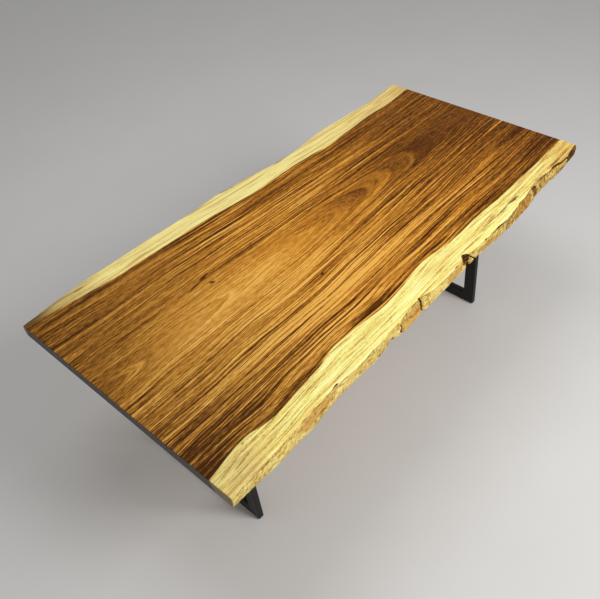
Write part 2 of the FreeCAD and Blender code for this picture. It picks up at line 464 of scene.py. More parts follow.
class SlabWood:
    """Oiled hardwood of the slab: streaked heartwood, pale sapwood and a rough natural rim."""

    HEARTWOOD = shades(
        (0.00, 68, 34, 5), (0.20, 106, 62, 19), (0.40, 148, 93, 32),
        (0.60, 185, 119, 38), (0.80, 213, 146, 54), (1.00, 238, 179, 84),
    )
    # Paler, less orange copy of the heartwood ramp: a painted cool daylight tint on the near end.
    DAYLIT_NEAR_HEARTWOOD = shades(
        (0.00, 64, 36, 9), (0.20, 104, 63, 22), (0.40, 148, 97, 35),
        (0.60, 184, 129, 52), (0.80, 210, 156, 70), (1.00, 234, 189, 103),
    )
    SAPWOOD = shades(
        (0.00, 178, 134, 70), (0.25, 216, 180, 102), (0.50, 238, 217, 121),
        (0.75, 246, 237, 138), (1.00, 252, 249, 170),
    )
    SAP_WARM = display_colour(228, 182, 94)
    # Greyer, duller sapwood colour for the near front end: a painted cool daylight tint.
    SAP_PAINTED_DAYLIGHT = display_colour(206, 180, 116)
    SAP_GREY = display_colour(146, 108, 64)
    SAP_REAR = display_colour(252, 228, 156)
    SAP_STRAW = display_colour(188, 142, 74)
    SAP_CORNER = display_colour(82, 57, 33)
    RIM = shades(
        (0.00, 128, 90, 40), (0.30, 186, 149, 78), (0.60, 226, 195, 110),
        (1.00, 247, 234, 154),
    )
    SCAR = display_colour(198, 143, 66)
    SCAR_BROWN = display_colour(142, 88, 38)
    # Dark brown of the rim's fissures, and also of the painted shadow line under the top's arris.
    FISSURE_AND_SHADOW = display_colour(82, 50, 20)
    BARK = shades(
        (0.15, 38, 22, 12), (0.50, 92, 56, 27), (0.90, 164, 120, 66),
    )
    WEDGE = display_colour(94, 50, 18)
    WEDGE_MIDDLE = (0.655, 0.040)
    WEDGE_HALF = (0.085, 0.060)
    WEDGE_LEAN = 0.20
    KNOT = display_colour(78, 34, 13)
    ARCHES = (
        (-1.000, -0.08), (-0.915, -0.08), (-0.890, 0.10), (-0.872, -0.06), (-0.850, 0.20), (-0.824, -0.07),
        (-0.780, 0.00), (-0.540, -0.02), (-0.505, -0.05), (-0.476, -0.18), (-0.444, 0.18), (-0.400, 0.05),
        (-0.250, 0.05), (0.000, 0.00), (0.120, -0.02), (0.245, -0.04), (0.283, -0.17), (0.306, 0.07),
        (0.345, 0.02), (0.372, 0.12), (0.425, 0.13), (0.455, -0.08), (0.485, 0.00), (0.560, 0.01),
        (0.582, 0.11), (0.604, -0.10), (0.700, -0.05), (0.740, 0.00), (1.000, 0.00),
    )
    FLECKED = (
        Knot(0.190, 0.056, 0.110, 0.036, -0.10, 0.9),
        Knot(0.346, 0.036, 0.024, 0.030, 0.00, 1.0),
        Knot(0.660, 0.040, 0.080, 0.055, 0.20, 0.8),
        Knot(0.745, 0.058, 0.034, 0.018, 0.00, 0.8),
    )
    KNOTS = (
        Knot(-0.452, 0.187, 0.034, 0.0072, 0.21, 1.0),
        Knot(-0.503, 0.175, 0.042, 0.0046, 0.18, 0.85),
        Knot(-0.451, 0.144, 0.014, 0.0080, -0.80, 1.0),
        Knot(0.437, -0.104, 0.011, 0.0065, 0.0, 1.0),
        Knot(-0.185, -0.145, 0.010, 0.0080, 0.0, 1.0),
        Knot(0.352, 0.039, 0.016, 0.006, 0.9, 0.45),
        Knot(-0.222, 0.182, 0.012, 0.004, 0.7, 0.5),
        Knot(0.130, 0.167, 0.012, 0.004, -0.8, 0.4),
        Knot(0.505, 0.160, 0.010, 0.004, 0.9, 0.4),
        Knot(0.025, -0.023, 0.010, 0.004, 0.5, 0.45),
        Knot(-0.725, 0.125, 0.010, 0.003, 0.6, 0.4),
    )
    FIGURES = (
        Figure(-0.830, -0.411, 0.110, 0.008, 0.0090, 0.20),
        Figure(-0.590, -0.386, 0.125, 0.024, 0.0065, 0.34),
        Figure(-0.585, -0.410, 0.110, 0.010, 0.0125, -0.30),
        Figure(-0.400, -0.389, 0.090, 0.004, 0.0080, 0.22),
        Figure(-0.210, -0.350, 0.160, 0.033, 0.0080, 0.30),
        Figure(-0.195, -0.391, 0.130, 0.004, 0.0065, -0.50),
        Figure(0.150, -0.377, 0.080, 0.004, 0.0090, -0.30),
        Figure(0.260, -0.374, 0.055, -0.006, 0.0065, 0.30),
        Figure(0.470, -0.381, 0.200, 0.008, 0.0090, -0.26),
        Figure(0.580, -0.345, 0.150, 0.012, 0.0090, 0.22),
        Figure(0.750, -0.370, 0.090, 0.004, 0.0070, 0.18),
        Figure(0.870, -0.345, 0.120, 0.000, 0.0140, -0.14),
    )
    GROUND = 0.24
    FRONT_BAND = (-0.37, 0.06, -0.09)
    # Broad patches of tone, partly the heartwood's own and partly painted light; the largest, left of the
    # middle, is a painted highlight.
    TONE_AND_LIGHT_PATCHES = (
        ToneAndLightPatch(-0.25, 0.62, -0.10, 0.52, 0.52),
        ToneAndLightPatch(-0.55, 0.40, 0.02, 0.09, 0.16),
        ToneAndLightPatch(0.50, 0.40, -0.25, 0.14, 0.18),
        ToneAndLightPatch(0.50, 0.45, 0.31, 0.08, 0.15),
        ToneAndLightPatch(-0.95, 0.34, -0.37, 0.09, -0.15),
        ToneAndLightPatch(0.70, 0.30, 0.05, 0.09, -0.09),
        ToneAndLightPatch(-0.85, 0.25, -0.07, 0.08, 0.07),
        ToneAndLightPatch(0.08, 0.28, 0.08, 0.10, -0.06),
        ToneAndLightPatch(0.90, 0.25, -0.24, 0.10, -0.08),
        ToneAndLightPatch(-0.15, 0.32, -0.22, 0.08, -0.05),
        ToneAndLightPatch(-0.05, 0.50, 0.29, 0.06, 0.05),
        ToneAndLightPatch(0.00, 0.22, -0.37, 0.06, 0.09),
    )
    SAP_MARK = display_colour(116, 72, 32)
    SAP_MARKS = (
        Knot(0.546, -0.457, 0.040, 0.0075, -0.03, 0.95),
        Knot(0.470, -0.459, 0.050, 0.0060, 0.06, 0.70),
        Knot(0.350, -0.466, 0.040, 0.0045, 0.00, 0.35),
        Knot(0.715, -0.462, 0.040, 0.0055, 0.00, 0.35),
        Knot(0.845, -0.462, 0.056, 0.0070, 0.00, 0.80),
        Knot(0.930, -0.457, 0.040, 0.0060, 0.05, 0.50),
        Knot(-0.945, -0.462, 0.055, 0.0034, 0.17, 0.55),
        Knot(-0.892, -0.471, 0.052, 0.0038, 0.17, 0.60),
        Knot(-0.925, -0.494, 0.060, 0.0034, 0.10, 0.50),
        Knot(-0.760, -0.478, 0.060, 0.0036, -0.05, 0.40),
        Knot(-0.856, -0.430, 0.008, 0.0055, 0.00, 0.50),
        Knot(-0.223, -0.475, 0.009, 0.0045, 0.60, 0.35),
        Knot(-0.478, -0.489, 0.055, 0.0050, 0.04, 0.35),
        Knot(-0.040, 0.505, 0.050, 0.0060, -0.12, 1.0),
        Knot(0.242, 0.465, 0.044, 0.0060, -0.05, 1.0),
        Knot(-0.772, 0.512, 0.024, 0.0050, -0.06, 0.70),
    )

    def __init__(self) -> None:
        """Reads the coordinates and the mesh's growth, sapwood and rim attributes."""
        self.bench = Bench(bpy.data.materials.new(Slot.SLAB_WOOD.value))
        self.x, self.y, self.z = self.bench.place()
        growth = self.bench.attribute("growth", "Vector")
        self.across, self.along, self.depth = self.bench.split(growth)
        self.rim, self.bark, self.scar = self.bench.split(self.bench.attribute("rim", "Vector"))
        self.sap_reach = self.bench.attribute("sapwood", "Fac")
        self.mottle = self.bench.blots(0.012, 2.0)
        self.ring = self.wavering_ring()
        self.tip = self.arch_tip()

    def wavering_ring(self) -> Wire:
        """Distance from the heart line that streaks keep to.

        Depth counts for little in it, so streaks run nearly straight, and close in a little at the far end.
        It wavers along the grain.

        Returns:
            The distance at each point.
        """
        bench = self.bench
        slow = bench.noise((self.along / 0.38, self.across / 0.10, 3.1), 1.0)
        quick = bench.noise((self.along / 0.16, self.across / 0.04, 7.7), 1.0)
        depth = self.depth * (self.along.step(-0.3, 0.7) * 0.27 + 0.35)
        return (self.across * self.across + depth * depth).root() + slow * 0.030 + quick * 0.010

    def streaks(self, layer: Streak) -> Wire:
        """Noise drawn out along the grain, from ring to ring.

        Args:
            layer: the layer of streaks.

        Returns:
            Streak heights about 0.
        """
        length, width, seed, detail, roughness = layer.value
        place = (self.along / length, self.ring / width, self.across / 0.22 + seed)
        return self.bench.noise(place, detail, roughness)

    def tone_and_painted_light(self) -> Wire:
        """Broad tone of the heartwood, partly its own and partly painted light: lightest left of the middle,
        where a painted highlight lies, and dark at the far end, partly by painted falloff of light.

        Returns:
            The tone, before any streaks.
        """
        middle, spread, tone = self.FRONT_BAND
        light = self.y.bell(middle, spread) * tone + self.GROUND
        for light_patch in self.TONE_AND_LIGHT_PATCHES:
            light = light + light_patch.shade(self)
        return light

    def arch_tip(self) -> Wire:
        """Place along the slab where the arch through a point has its tip.

        Each arch is a parabola along the heart line, wider towards the far end.

        Returns:
            The place, wavering a little.
        """
        wobble = self.bench.noise((self.x / 0.035, self.y / 0.02, 4.4), 1.0) * 0.034
        wider = (self.along + 0.5).greater(0.0)
        return self.along + self.across * self.across / (wider * wider * 0.033 + 0.0075) + wobble

    def arches(self) -> Wire:
        """Nested arches over the heart, lighter or darker by the place of their tips.

        Returns:
            Tone to add, fading out beside the heart line, with dark arches fainter in front of it.
        """
        bench = self.bench
        stops = tuple(((place + 1.0) / 2.0, (tone + 0.5,) * 3 + (OPAQUE,)) for place, tone in self.ARCHES)
        tone = bench.ramp((self.tip + 1.0) / 2.0, stops) - 0.5
        below = self.across.step(0.015, -0.035)
        broken = bench.noise((self.x / 0.05, self.y / 0.012, 6.6), 1.0) * 1.2 + 1.0
        tone = tone.greater(0.0) * (below * 0.4 + 0.9) + (tone - tone.greater(0.0)) * (1.0 - below * 0.55)
        near = self.across.bell(0.0, 0.070) + self.along.step(0.0, 0.3) * self.across.bell(0.0, 0.090)
        return tone * broken * near.math("MINIMUM", near, 1.0)

    def flecks(self) -> Wire:
        """Short fine arcs that cross the grain, in patches on the heart line.

        Returns:
            1 on a fleck, 0 elsewhere.
        """
        bench = self.bench
        marks = bench.noise((self.tip / 0.0105, self.across / 0.022, 9.1), 1.0).step(-0.05, 0.11)
        patches: Operand = 0.0
        for patch in self.FLECKED:
            patches = patch.mask(self) + patches
        return marks * patches

    def calm_share(self, front: Wire) -> Wire:
        """Share of the streaks that stays: less on the heart, at both ends and at the near rear corner.

        Args:
            front: 1 in front of the heart, 0 behind it.

        Returns:
            The share at each point.
        """
        on_heart = self.across.bell(0.0, 0.080) * (self.along.step(0.0, 0.3) * 0.16 + 0.64)
        near_end = self.along.step(-0.15, -0.70) * (1.0 - front * 0.5) * 0.42
        far_end = self.along.step(0.20, 0.80) * (0.50 - front * 0.20)
        corner = self.along.step(-0.40, -0.80) * self.across.step(0.18, 0.30) * 0.30
        return (1.0 - on_heart) * (1.0 - near_end) * (1.0 - far_end) * (1.0 - corner)

    def border_tone(self) -> Wire:
        """Broken dark and pale lines beside the sapwood, and the bowed figures.

        Returns:
            Tone to add to the heartwood.
        """
        patchy = self.streaks(Streak.BORDER_PATCHES).step(-0.10, 0.12)
        tone = self.sap_reach.bell(-0.002, 0.006) * (1.0 - patchy) * 0.14
        tone = tone - self.sap_reach.bell(-0.010, 0.007) * patchy * 0.20
        ragged = self.streaks(Streak.RAGGED) * 2.2 + 1.0
        for figure in self.FIGURES:
            tone = tone + figure.shade(self) * ragged
        return tone

    def heartwood(self) -> tuple[Wire, Wire]:
        """Heartwood from broad tone to fine fibres.

        Returns:
            The colour, and the fine heights that its bump takes.
        """
        bench = self.bench
        outer = self.across.size().step(0.05, 0.28)
        front = self.across.step(0.05, -0.20)
        heart = self.across.bell(0.0, 0.075)
        middle = self.along.bell(-0.05, 0.50)
        calm = self.calm_share(front)
        patch = self.streaks(Streak.PATCHES).step(-0.12, 0.14) * 0.7 + 0.6
        ribs = self.streaks(Streak.RIBS).step(-0.15, 0.15) - 0.5
        lines = self.streaks(Streak.LINES)
        fibres = bench.noise((self.x / 0.022, self.y / 0.0026, self.z / 0.01), 1.0, 0.6)
        pores = self.streaks(Streak.PORES).step(0.16, 0.30)
        flecks = self.flecks()
        broad_weight = outer * (middle * 0.70 + 0.25) + 0.08
        rib_weight = outer * (front * 0.07 + middle * 0.18 + 0.10) + 0.10 - heart * 0.08
        line_weight = outer * (middle * 0.70 - front * 0.12 + 0.45) + 1.00 - heart * 0.60
        # The broad tone carries painted light: a highlight left of the middle and a darker far end.
        tone = self.tone_and_painted_light() + self.streaks(Streak.BROAD) * broad_weight
        tone = tone + (ribs * rib_weight + lines * line_weight) * patch * calm
        tone = tone + self.streaks(Streak.FINE_LINES) * calm * 1.55 + fibres * (1.00 - heart * 0.20)
        tone = tone - self.streaks(Streak.DARK_BANDS).step(0.09, 0.17) * (outer * 0.16 + 0.02)
        tone = tone - self.streaks(Streak.DARK_HAIRS).bell(0.0, 0.014) * calm * 0.10
        tone = tone + self.streaks(Streak.PALE_HAIRS).bell(0.0, 0.013) * calm * 0.10
        tone = tone - pores * 0.10 + self.arches() * 1.4 - flecks * 0.18 + self.border_tone()
        # Towards the near end the heartwood takes the paler ramp, a painted cool daylight tint.
        near_end = bench.ramp(tone, self.DAYLIT_NEAR_HEARTWOOD)
        colour = bench.mix(self.along.step(-0.1, -0.9), bench.ramp(tone, self.HEARTWOOD), near_end)
        colour = bench.mix(self.wedge(flecks), colour, self.WEDGE)
        return colour, lines + fibres * 0.6 - pores * 0.5

    def wedge(self, flecks: Wire) -> Wire:
        """Dark flame on the heart line: a leaning lens, stronger where flecks cross it.

        Args:
            flecks: 1 on a fleck, 0 elsewhere.

        Returns:
            Share of the dark flame.
        """
        middle_x, middle_y = self.WEDGE_MIDDLE
        half_length, half_width = self.WEDGE_HALF
        offset = self.x - middle_x
        along = offset / half_length
        across = (self.y - middle_y - offset * self.WEDGE_LEAN) / half_width
        reach = (along * along + across * across).root() + self.mottle * 0.9
        return reach.step(1.15, 0.45) * (flecks * 0.60 + 0.30)

    def sap_tone(self, rear: Wire) -> Wire:
        """Light and dark of the sapwood: plainer and paler in the middle, darker at both ends.

        Args:
            rear: 1 behind the heart, 0 in front of it.

        Returns:
            The tone at each point.
        """
        speckle = self.bench.noise((self.x / 0.009, self.y / 0.0035, self.z / 0.01), 1.0)
        tone = self.streaks(Streak.SAP_BANDS) * 1.3 + self.streaks(Streak.SAP_LINES) * 1.5
        tone = tone + self.streaks(Streak.SAP_FINE_LINES) * 1.5 + speckle * 1.1
        tone = tone - self.streaks(Streak.SAP_HAIRS).bell(0.0, 0.012) * 0.08
        plain = self.along.bell(0.0, 0.45) * 0.20
        near_end = self.along.bell(-1.0, 0.34) * 0.20
        far_end = self.along.step(0.25, 1.0) * (rear * 0.22 + 0.26)
        tone = tone * (1.0 - plain) + plain * 0.15 + rear * 0.05 + 0.64
        return tone - near_end - far_end + self.along.bell(-0.10, 0.50) * 0.07

    def sapwood(self) -> Wire:
        """Cream sapwood with straw streaks and warmer patches, grey brown at the near rear corner, and a
        painted cool daylight tint that dulls the near front end.

        Returns:
            The colour.
        """
        bench = self.bench
        rear = self.across.step(0.0, 0.2)
        warm = self.streaks(Streak.SAP_WARMTH).step(0.02, 0.24) + self.along.step(0.35, 1.0) * 0.6
        warm = warm + self.z.step(0.700, 0.696)
        # The near end of the front sapwood is dulled greyer by painted cool daylight.
        daylight_dulling = self.along.step(-0.78, -0.92) * (1.0 - rear)
        straw = self.streaks(Streak.SAP_STRAW).step(0.01, 0.15) * rear
        grey = self.along.step(-0.60, -0.97) * rear
        streaky = (self.streaks(Streak.SAP_GREYS) + 0.02).step(-0.10, 0.10)
        corner = self.along.step(-0.85, -0.98) * rear
        washes = (
            (warm * 0.45, self.SAP_WARM),
            (daylight_dulling * 0.45, self.SAP_PAINTED_DAYLIGHT),
            (rear * 0.40, self.SAP_REAR),
            (straw * (self.along.step(0.2, -0.7) * 0.30 + 0.50), self.SAP_STRAW),
            (grey * (streaky * 0.35 + 0.50), self.SAP_GREY),
            (corner * 0.85, self.SAP_CORNER),
        )
        colour = bench.ramp(self.sap_tone(rear), self.SAPWOOD)
        for share, wash in washes:
            colour = bench.mix(share, colour, wash)
        return colour

    def sap_mask(self) -> Wire:
        """Sapwood, with a border that runs out in fingers along the grain.

        Returns:
            1 in the sapwood, 0 in the heartwood.
        """
        waver = self.bench.noise((self.along / 0.05, self.across / 0.05, 1.7), 3.0)
        fingers = self.streaks(Streak.SAP_FINGERS)
        return (self.sap_reach + waver * 0.006 + fingers * 0.010).step(-0.0022, 0.0022)

    def rim_colour(self) -> tuple[Wire, Wire, Wire]:
        """Rough natural rim: pale fibres, tan scars, dark fissures and pits, and bark.

        Returns:
            The colour, the height of the rim's relief, and the share of bark.
        """
        bench = self.bench
        fibres = bench.noise((self.x / 0.018, self.z / 0.0030, self.y / 0.02), 2.0, 0.65)
        blotch = bench.noise((self.x / 0.06, self.z / 0.022, self.y / 0.05), 3.0)
        lines = bench.noise((self.x / 0.055, self.z / 0.009, self.y / 0.05), 3.0, 0.6)
        steep, drawn = (self.x - self.z) * 0.7, (self.x + self.z) * 0.7
        strokes = bench.noise((steep / 0.0046, drawn / 0.018, self.y / 0.03), 2.0, 0.6)
        patchy = bench.noise((self.x / 0.09, self.z / 0.03, 2.2), 1.0).step(-0.08, 0.10)
        scar = (self.scar + strokes * 0.9).step(0.35, 0.75)
        far = self.along.step(0.05, 0.60)
        tone = fibres * (1.6 - far * 0.7) + strokes * (far * 1.2 + 1.0) + blotch * 1.2
        colour = bench.ramp(tone + 0.62 - far * 0.30, self.RIM)
        colour = bench.mix(scar * (blotch + strokes * 1.5 + 0.60), colour, self.SCAR)
        stain = (blotch + strokes * 0.6).step(-0.02, 0.16)
        colour = bench.mix(scar * stain * 0.65, colour, self.SCAR_BROWN)
        dark = strokes.step(-0.07, -0.18) * (far * 0.60 + patchy * 0.45 + 0.18)
        fissures = (lines.bell(0.0, 0.018) * (patchy * 0.60 + far * 0.20 + 0.12)).greater(dark)
        colour = bench.mix(fissures * 0.85, colour, self.FISSURE_AND_SHADOW)
        bark = (self.bark + strokes * 0.8 + blotch * 0.5).step(0.40, 0.56)
        flakes = bench.ramp(strokes * 1.8 + fibres * 0.9 + 0.66 - self.bark * 0.36, self.BARK)
        height = fibres * 0.6 + strokes * 0.9 + blotch * 0.8 - fissures * 0.6
        return bench.mix(bark, colour, flakes), height, bark

    def arris_shadow(self) -> Wire:
        """Painted shadow: a dark broken line where the smooth top ends and the rough rim begins, standing
        for the shade under the arris.

        Returns:
            Share of the dark line.
        """
        bench = self.bench
        broken = bench.noise((self.x / 0.030, self.y / 0.05, 5.3), 2.0, 0.6).step(-0.10, 0.10)
        band = self.rim.step(0.02, 0.30) * self.rim.step(1.0, 0.60)
        return band * (broken * 0.65 + self.along.step(0.05, 0.60) * 0.20 + 0.15)

    def dress(self) -> bpy.types.Material:
        """Joins heartwood, sapwood, knots, marks and rim.

        Returns:
            The finished material.
        """
        bench = self.bench
        heart, fibre_height = self.heartwood()
        top = bench.mix(self.sap_mask(), heart, self.sapwood())
        for knot in self.KNOTS:
            top = bench.mix(knot.mask(self), top, self.KNOT)
        for mark in self.SAP_MARKS:
            top = bench.mix(mark.mask(self), top, self.SAP_MARK)
        rim, rim_height, bark = self.rim_colour()
        # The dark line under the arris is painted shadow.
        colour = bench.mix(self.arris_shadow(), bench.mix(self.rim.greater(bark), top, rim), self.FISSURE_AND_SHADOW)
        height = fibre_height * (1.0 - self.rim) * 0.07 + rim_height * self.rim
        return bench.surface({
            "Base Color": colour,
            "Roughness": fibre_height * 0.18 + self.rim * 0.25 + 0.46,
            "Specular IOR Level": 0.03,
            "Normal": bench.bump(height, 0.8, 0.0014),
        })


class EndGrainAndPaintedShade:
    """Sawn and sealed ends of the slab: rings about the heart, crossed by fine rays, in a dark grey brown
    that is partly the end grain's own tone and partly painted shade.
    """

    # Both ramps hold the end grain's darker tone, made darker and greyer still by painted shade.
    HEARTWOOD = shades(
        (0.15, 34, 27, 25), (0.50, 54, 45, 41), (0.85, 76, 65, 58),
    )
    SAPWOOD = shades(
        (0.20, 112, 93, 62), (0.80, 152, 130, 90),
    )

    def dress(self) -> bpy.types.Material:
        """Joins rings, rays and saw lines.

        Returns:
            The finished material.
        """
        bench = Bench(bpy.data.materials.new("slab_end_grain_painted_shade"))
        x, y, z = bench.place()
        across, along, depth = bench.split(bench.attribute("growth", "Vector"))
        sap_reach = bench.attribute("sapwood", "Fac")
        waver = bench.noise((across / 0.06, depth / 0.06, 2.0), 2.0)
        ring = (across * across + depth * depth).root() + waver * 0.008
        angle = across.math("ARCTAN2", across, depth)
        rings = bench.noise((ring / 0.009, angle / 0.8, along), 3.0, 0.6)
        rays = bench.noise((angle / 0.006, ring / 0.05, along), 1.0)
        saw = bench.noise((y / 0.10, z / 0.0016, x), 1.0)
        tone = rings * 1.3 + rays * 0.5 + saw * 0.35 + 0.5
        sapwood = sap_reach.step(-0.003, 0.003)
        heart = bench.ramp(tone, self.HEARTWOOD)
        colour = bench.mix(sapwood, heart, bench.ramp(tone, self.SAPWOOD))
        return bench.surface({
            "Base Color": colour,
            "Roughness": rings * 0.2 + 0.55,
            "Normal": bench.bump(rays * 0.5 + saw, 0.4, 0.0005),
        })


@dataclass(frozen=True)
class PowderCoat:
    """Black powder coat on the leg frames: near black, satin, with the coat's fine pimpled skin."""

    name: str = Slot.FRAME_STEEL.value
    dark: Colour = display_colour(8, 8, 9)
    pale: Colour = display_colour(19, 19, 20)
    roughness: float = 0.46
    gloss: float = 0.22
    grain: float = 0.0011
    cloud: float = 0.09
    dust_height: float = 0.12

    def dress(self) -> bpy.types.Material:
        """Clouded coat with a pimpled skin, a little dusty near the floor.

        Returns:
            The finished material.
        """
        bench = Bench(bpy.data.materials.new(self.name))
        height = bench.place()[2]
        skin = bench.blots(self.grain)
        cloud = bench.blots(self.cloud, 3.0)
        dust = 1.0 - height.step(0.0, self.dust_height)
        tone = cloud * 0.9 + skin * 0.3 + dust * 0.25 + 0.35
        return bench.surface({
            "Base Color": bench.mix(tone, self.dark, self.pale),
            "Roughness": cloud * 0.20 + skin * 0.08 + self.roughness,
            "Specular IOR Level": self.gloss,
            "Normal": bench.bump(skin, 0.25, 0.0004),
        })


@dataclass(frozen=True)
class TurnedMetal:
    """Plated or bare metal of the fasteners, with fine turning lines and a cloudy sheen."""

    name: str
    dark: Colour
    pale: Colour
    roughness: float
    line: float = 0.0004
    line_length: float = 0.004
    cloud: float = 0.012

    def dress(self) -> bpy.types.Material:
        """Turning lines, closer along Z, over a cloud.

        Returns:
            The finished material.
        """
        bench = Bench(bpy.data.materials.new(self.name))
        x, y, z = bench.place()
        lines = bench.noise((x / self.line_length, y / self.line_length, z / self.line), 2.0)
        cloud = bench.blots(self.cloud, 3.0)
        tone = lines * 0.8 + cloud * 1.2 + 0.5
        return bench.surface({
            "Base Color": bench.mix(tone, self.dark, self.pale),
            "Metallic": 1.0,
            "Roughness": cloud * 0.35 + self.roughness,
            "Normal": bench.bump(lines, 0.2, 0.0002),
        })


ZINC = TurnedMetal(
    name=Slot.FASTENER_STEEL.value,
    dark=display_colour(150, 152, 156),
    pale=display_colour(196, 198, 202),
    roughness=0.34,
)
BRASS = TurnedMetal(
    name=Slot.INSERT_BRASS.value,
    dark=display_colour(168, 128, 62),
    pale=display_colour(214, 176, 98),
    roughness=0.30,
)


@dataclass(frozen=True)
class MouldedPlastic:
    """Moulded plastic of the glide pads: charcoal, with a fine spark texture and scuffed floor face."""

    name: str = Slot.GLIDE_PLASTIC.value
    dark: Colour = display_colour(38, 39, 41)
    pale: Colour = display_colour(66, 67, 68)
    grain: float = 0.0007
    scuff_height: float = 0.0015

    def dress(self) -> bpy.types.Material:
        """Spark texture, paler where the floor scuffs it.

        Returns:
            The finished material.
        """
        bench = Bench(bpy.data.materials.new(self.name))
        height = bench.place()[2]
        spark = bench.blots(self.grain)
        scuff = 1.0 - height.step(0.0, self.scuff_height)
        return bench.surface({
            "Base Color": bench.mix(spark * 0.8 + scuff * 0.5 + 0.35, self.dark, self.pale),
            "Roughness": spark * 0.2 + 0.58,
            "Normal": bench.bump(spark, 0.3, 0.0003),
        })


def add_mesh(name: str, points: np.ndarray, quads: np.ndarray) -> bpy.types.Object:
    """Puts a surface of four-sided faces into the scene.

    Args:
        name: the piece's name.
        points: its vertices, one row each.
        quads: its faces, one row of four vertex numbers each.

    Returns:
        The new object, at the origin.
    """
    mesh = bpy.data.meshes.new(name)
    mesh.vertices.add(len(points))
    mesh.vertices.foreach_set("co", points.astype(np.float32).ravel())
    mesh.loops.add(quads.size)
    mesh.loops.foreach_set("vertex_index", quads.astype(np.int32).ravel())
    mesh.polygons.add(len(quads))
    mesh.polygons.foreach_set("loop_start", np.arange(0, quads.size, 4, dtype=np.int32))
    mesh.update(calc_edges=True)
    mesh.validate()
    made = bpy.data.objects.new(name, mesh)
    bpy.context.scene.collection.objects.link(made)
    return made


def add_attribute(mesh: bpy.types.Mesh, name: str, values: np.ndarray) -> None:
    """Gives every vertex a value or a vector.

    Args:
        mesh: the mesh.
        name: the attribute's name.
        values: a value for each vertex, or a row of three.
    """
    if values.ndim == 1:
        mesh.attributes.new(name, "FLOAT", "POINT").data.foreach_set("value", values.astype(np.float32))
    else:
        layer = mesh.attributes.new(name, "FLOAT_VECTOR", "POINT")
        layer.data.foreach_set("vector", values.astype(np.float32).ravel())


def closed_rings(count: int, around: int) -> np.ndarray:
    """Vertex numbers of rings, one row each, with the first of each ring again at its end."""
    numbers = np.arange(count * around).reshape(count, around)
    return np.column_stack([numbers, numbers[:, 0]])


def grid_faces(numbers: np.ndarray) -> np.ndarray:
    """Four-sided faces between neighbours on a grid of vertex numbers, one row each."""
    corners = [numbers[:-1, :-1], numbers[:-1, 1:], numbers[1:, 1:], numbers[1:, :-1]]
    return np.stack(corners, axis=-1).reshape(-1, 4)


def capped_tubes(rings: np.ndarray) -> tuple[np.ndarray, np.ndarray]:
    """Closed surfaces from rows of rings, each end closed by a fan of four-sided faces.

    Args:
        rings: points of the tubes: tubes first, rings second, an even number of places round third.

    Returns:
        The points and the faces.
    """
    tubes, count, around = rings.shape[:3]
    wrapped = closed_rings(count, around)
    faces = [grid_faces(wrapped)]
    first, last = wrapped[0, :-1], wrapped[-1, :-1]
    for centre, loop in ((count * around, first[::-1]), (count * around + 1, last)):
        middle = np.full(around // 2, centre)
        faces.append(np.stack([middle, loop[0::2], loop[1::2], np.roll(loop, -2)[0::2]], axis=-1))
    centres = rings[:, [0, -1]].mean(axis=2)
    points = np.concatenate([rings.reshape(tubes, -1, 3), centres], axis=1)
    shifts = np.arange(tubes)[:, None, None] * points.shape[1]
    return points.reshape(-1, 3), (np.concatenate(faces)[None] + shifts).reshape(-1, 4)


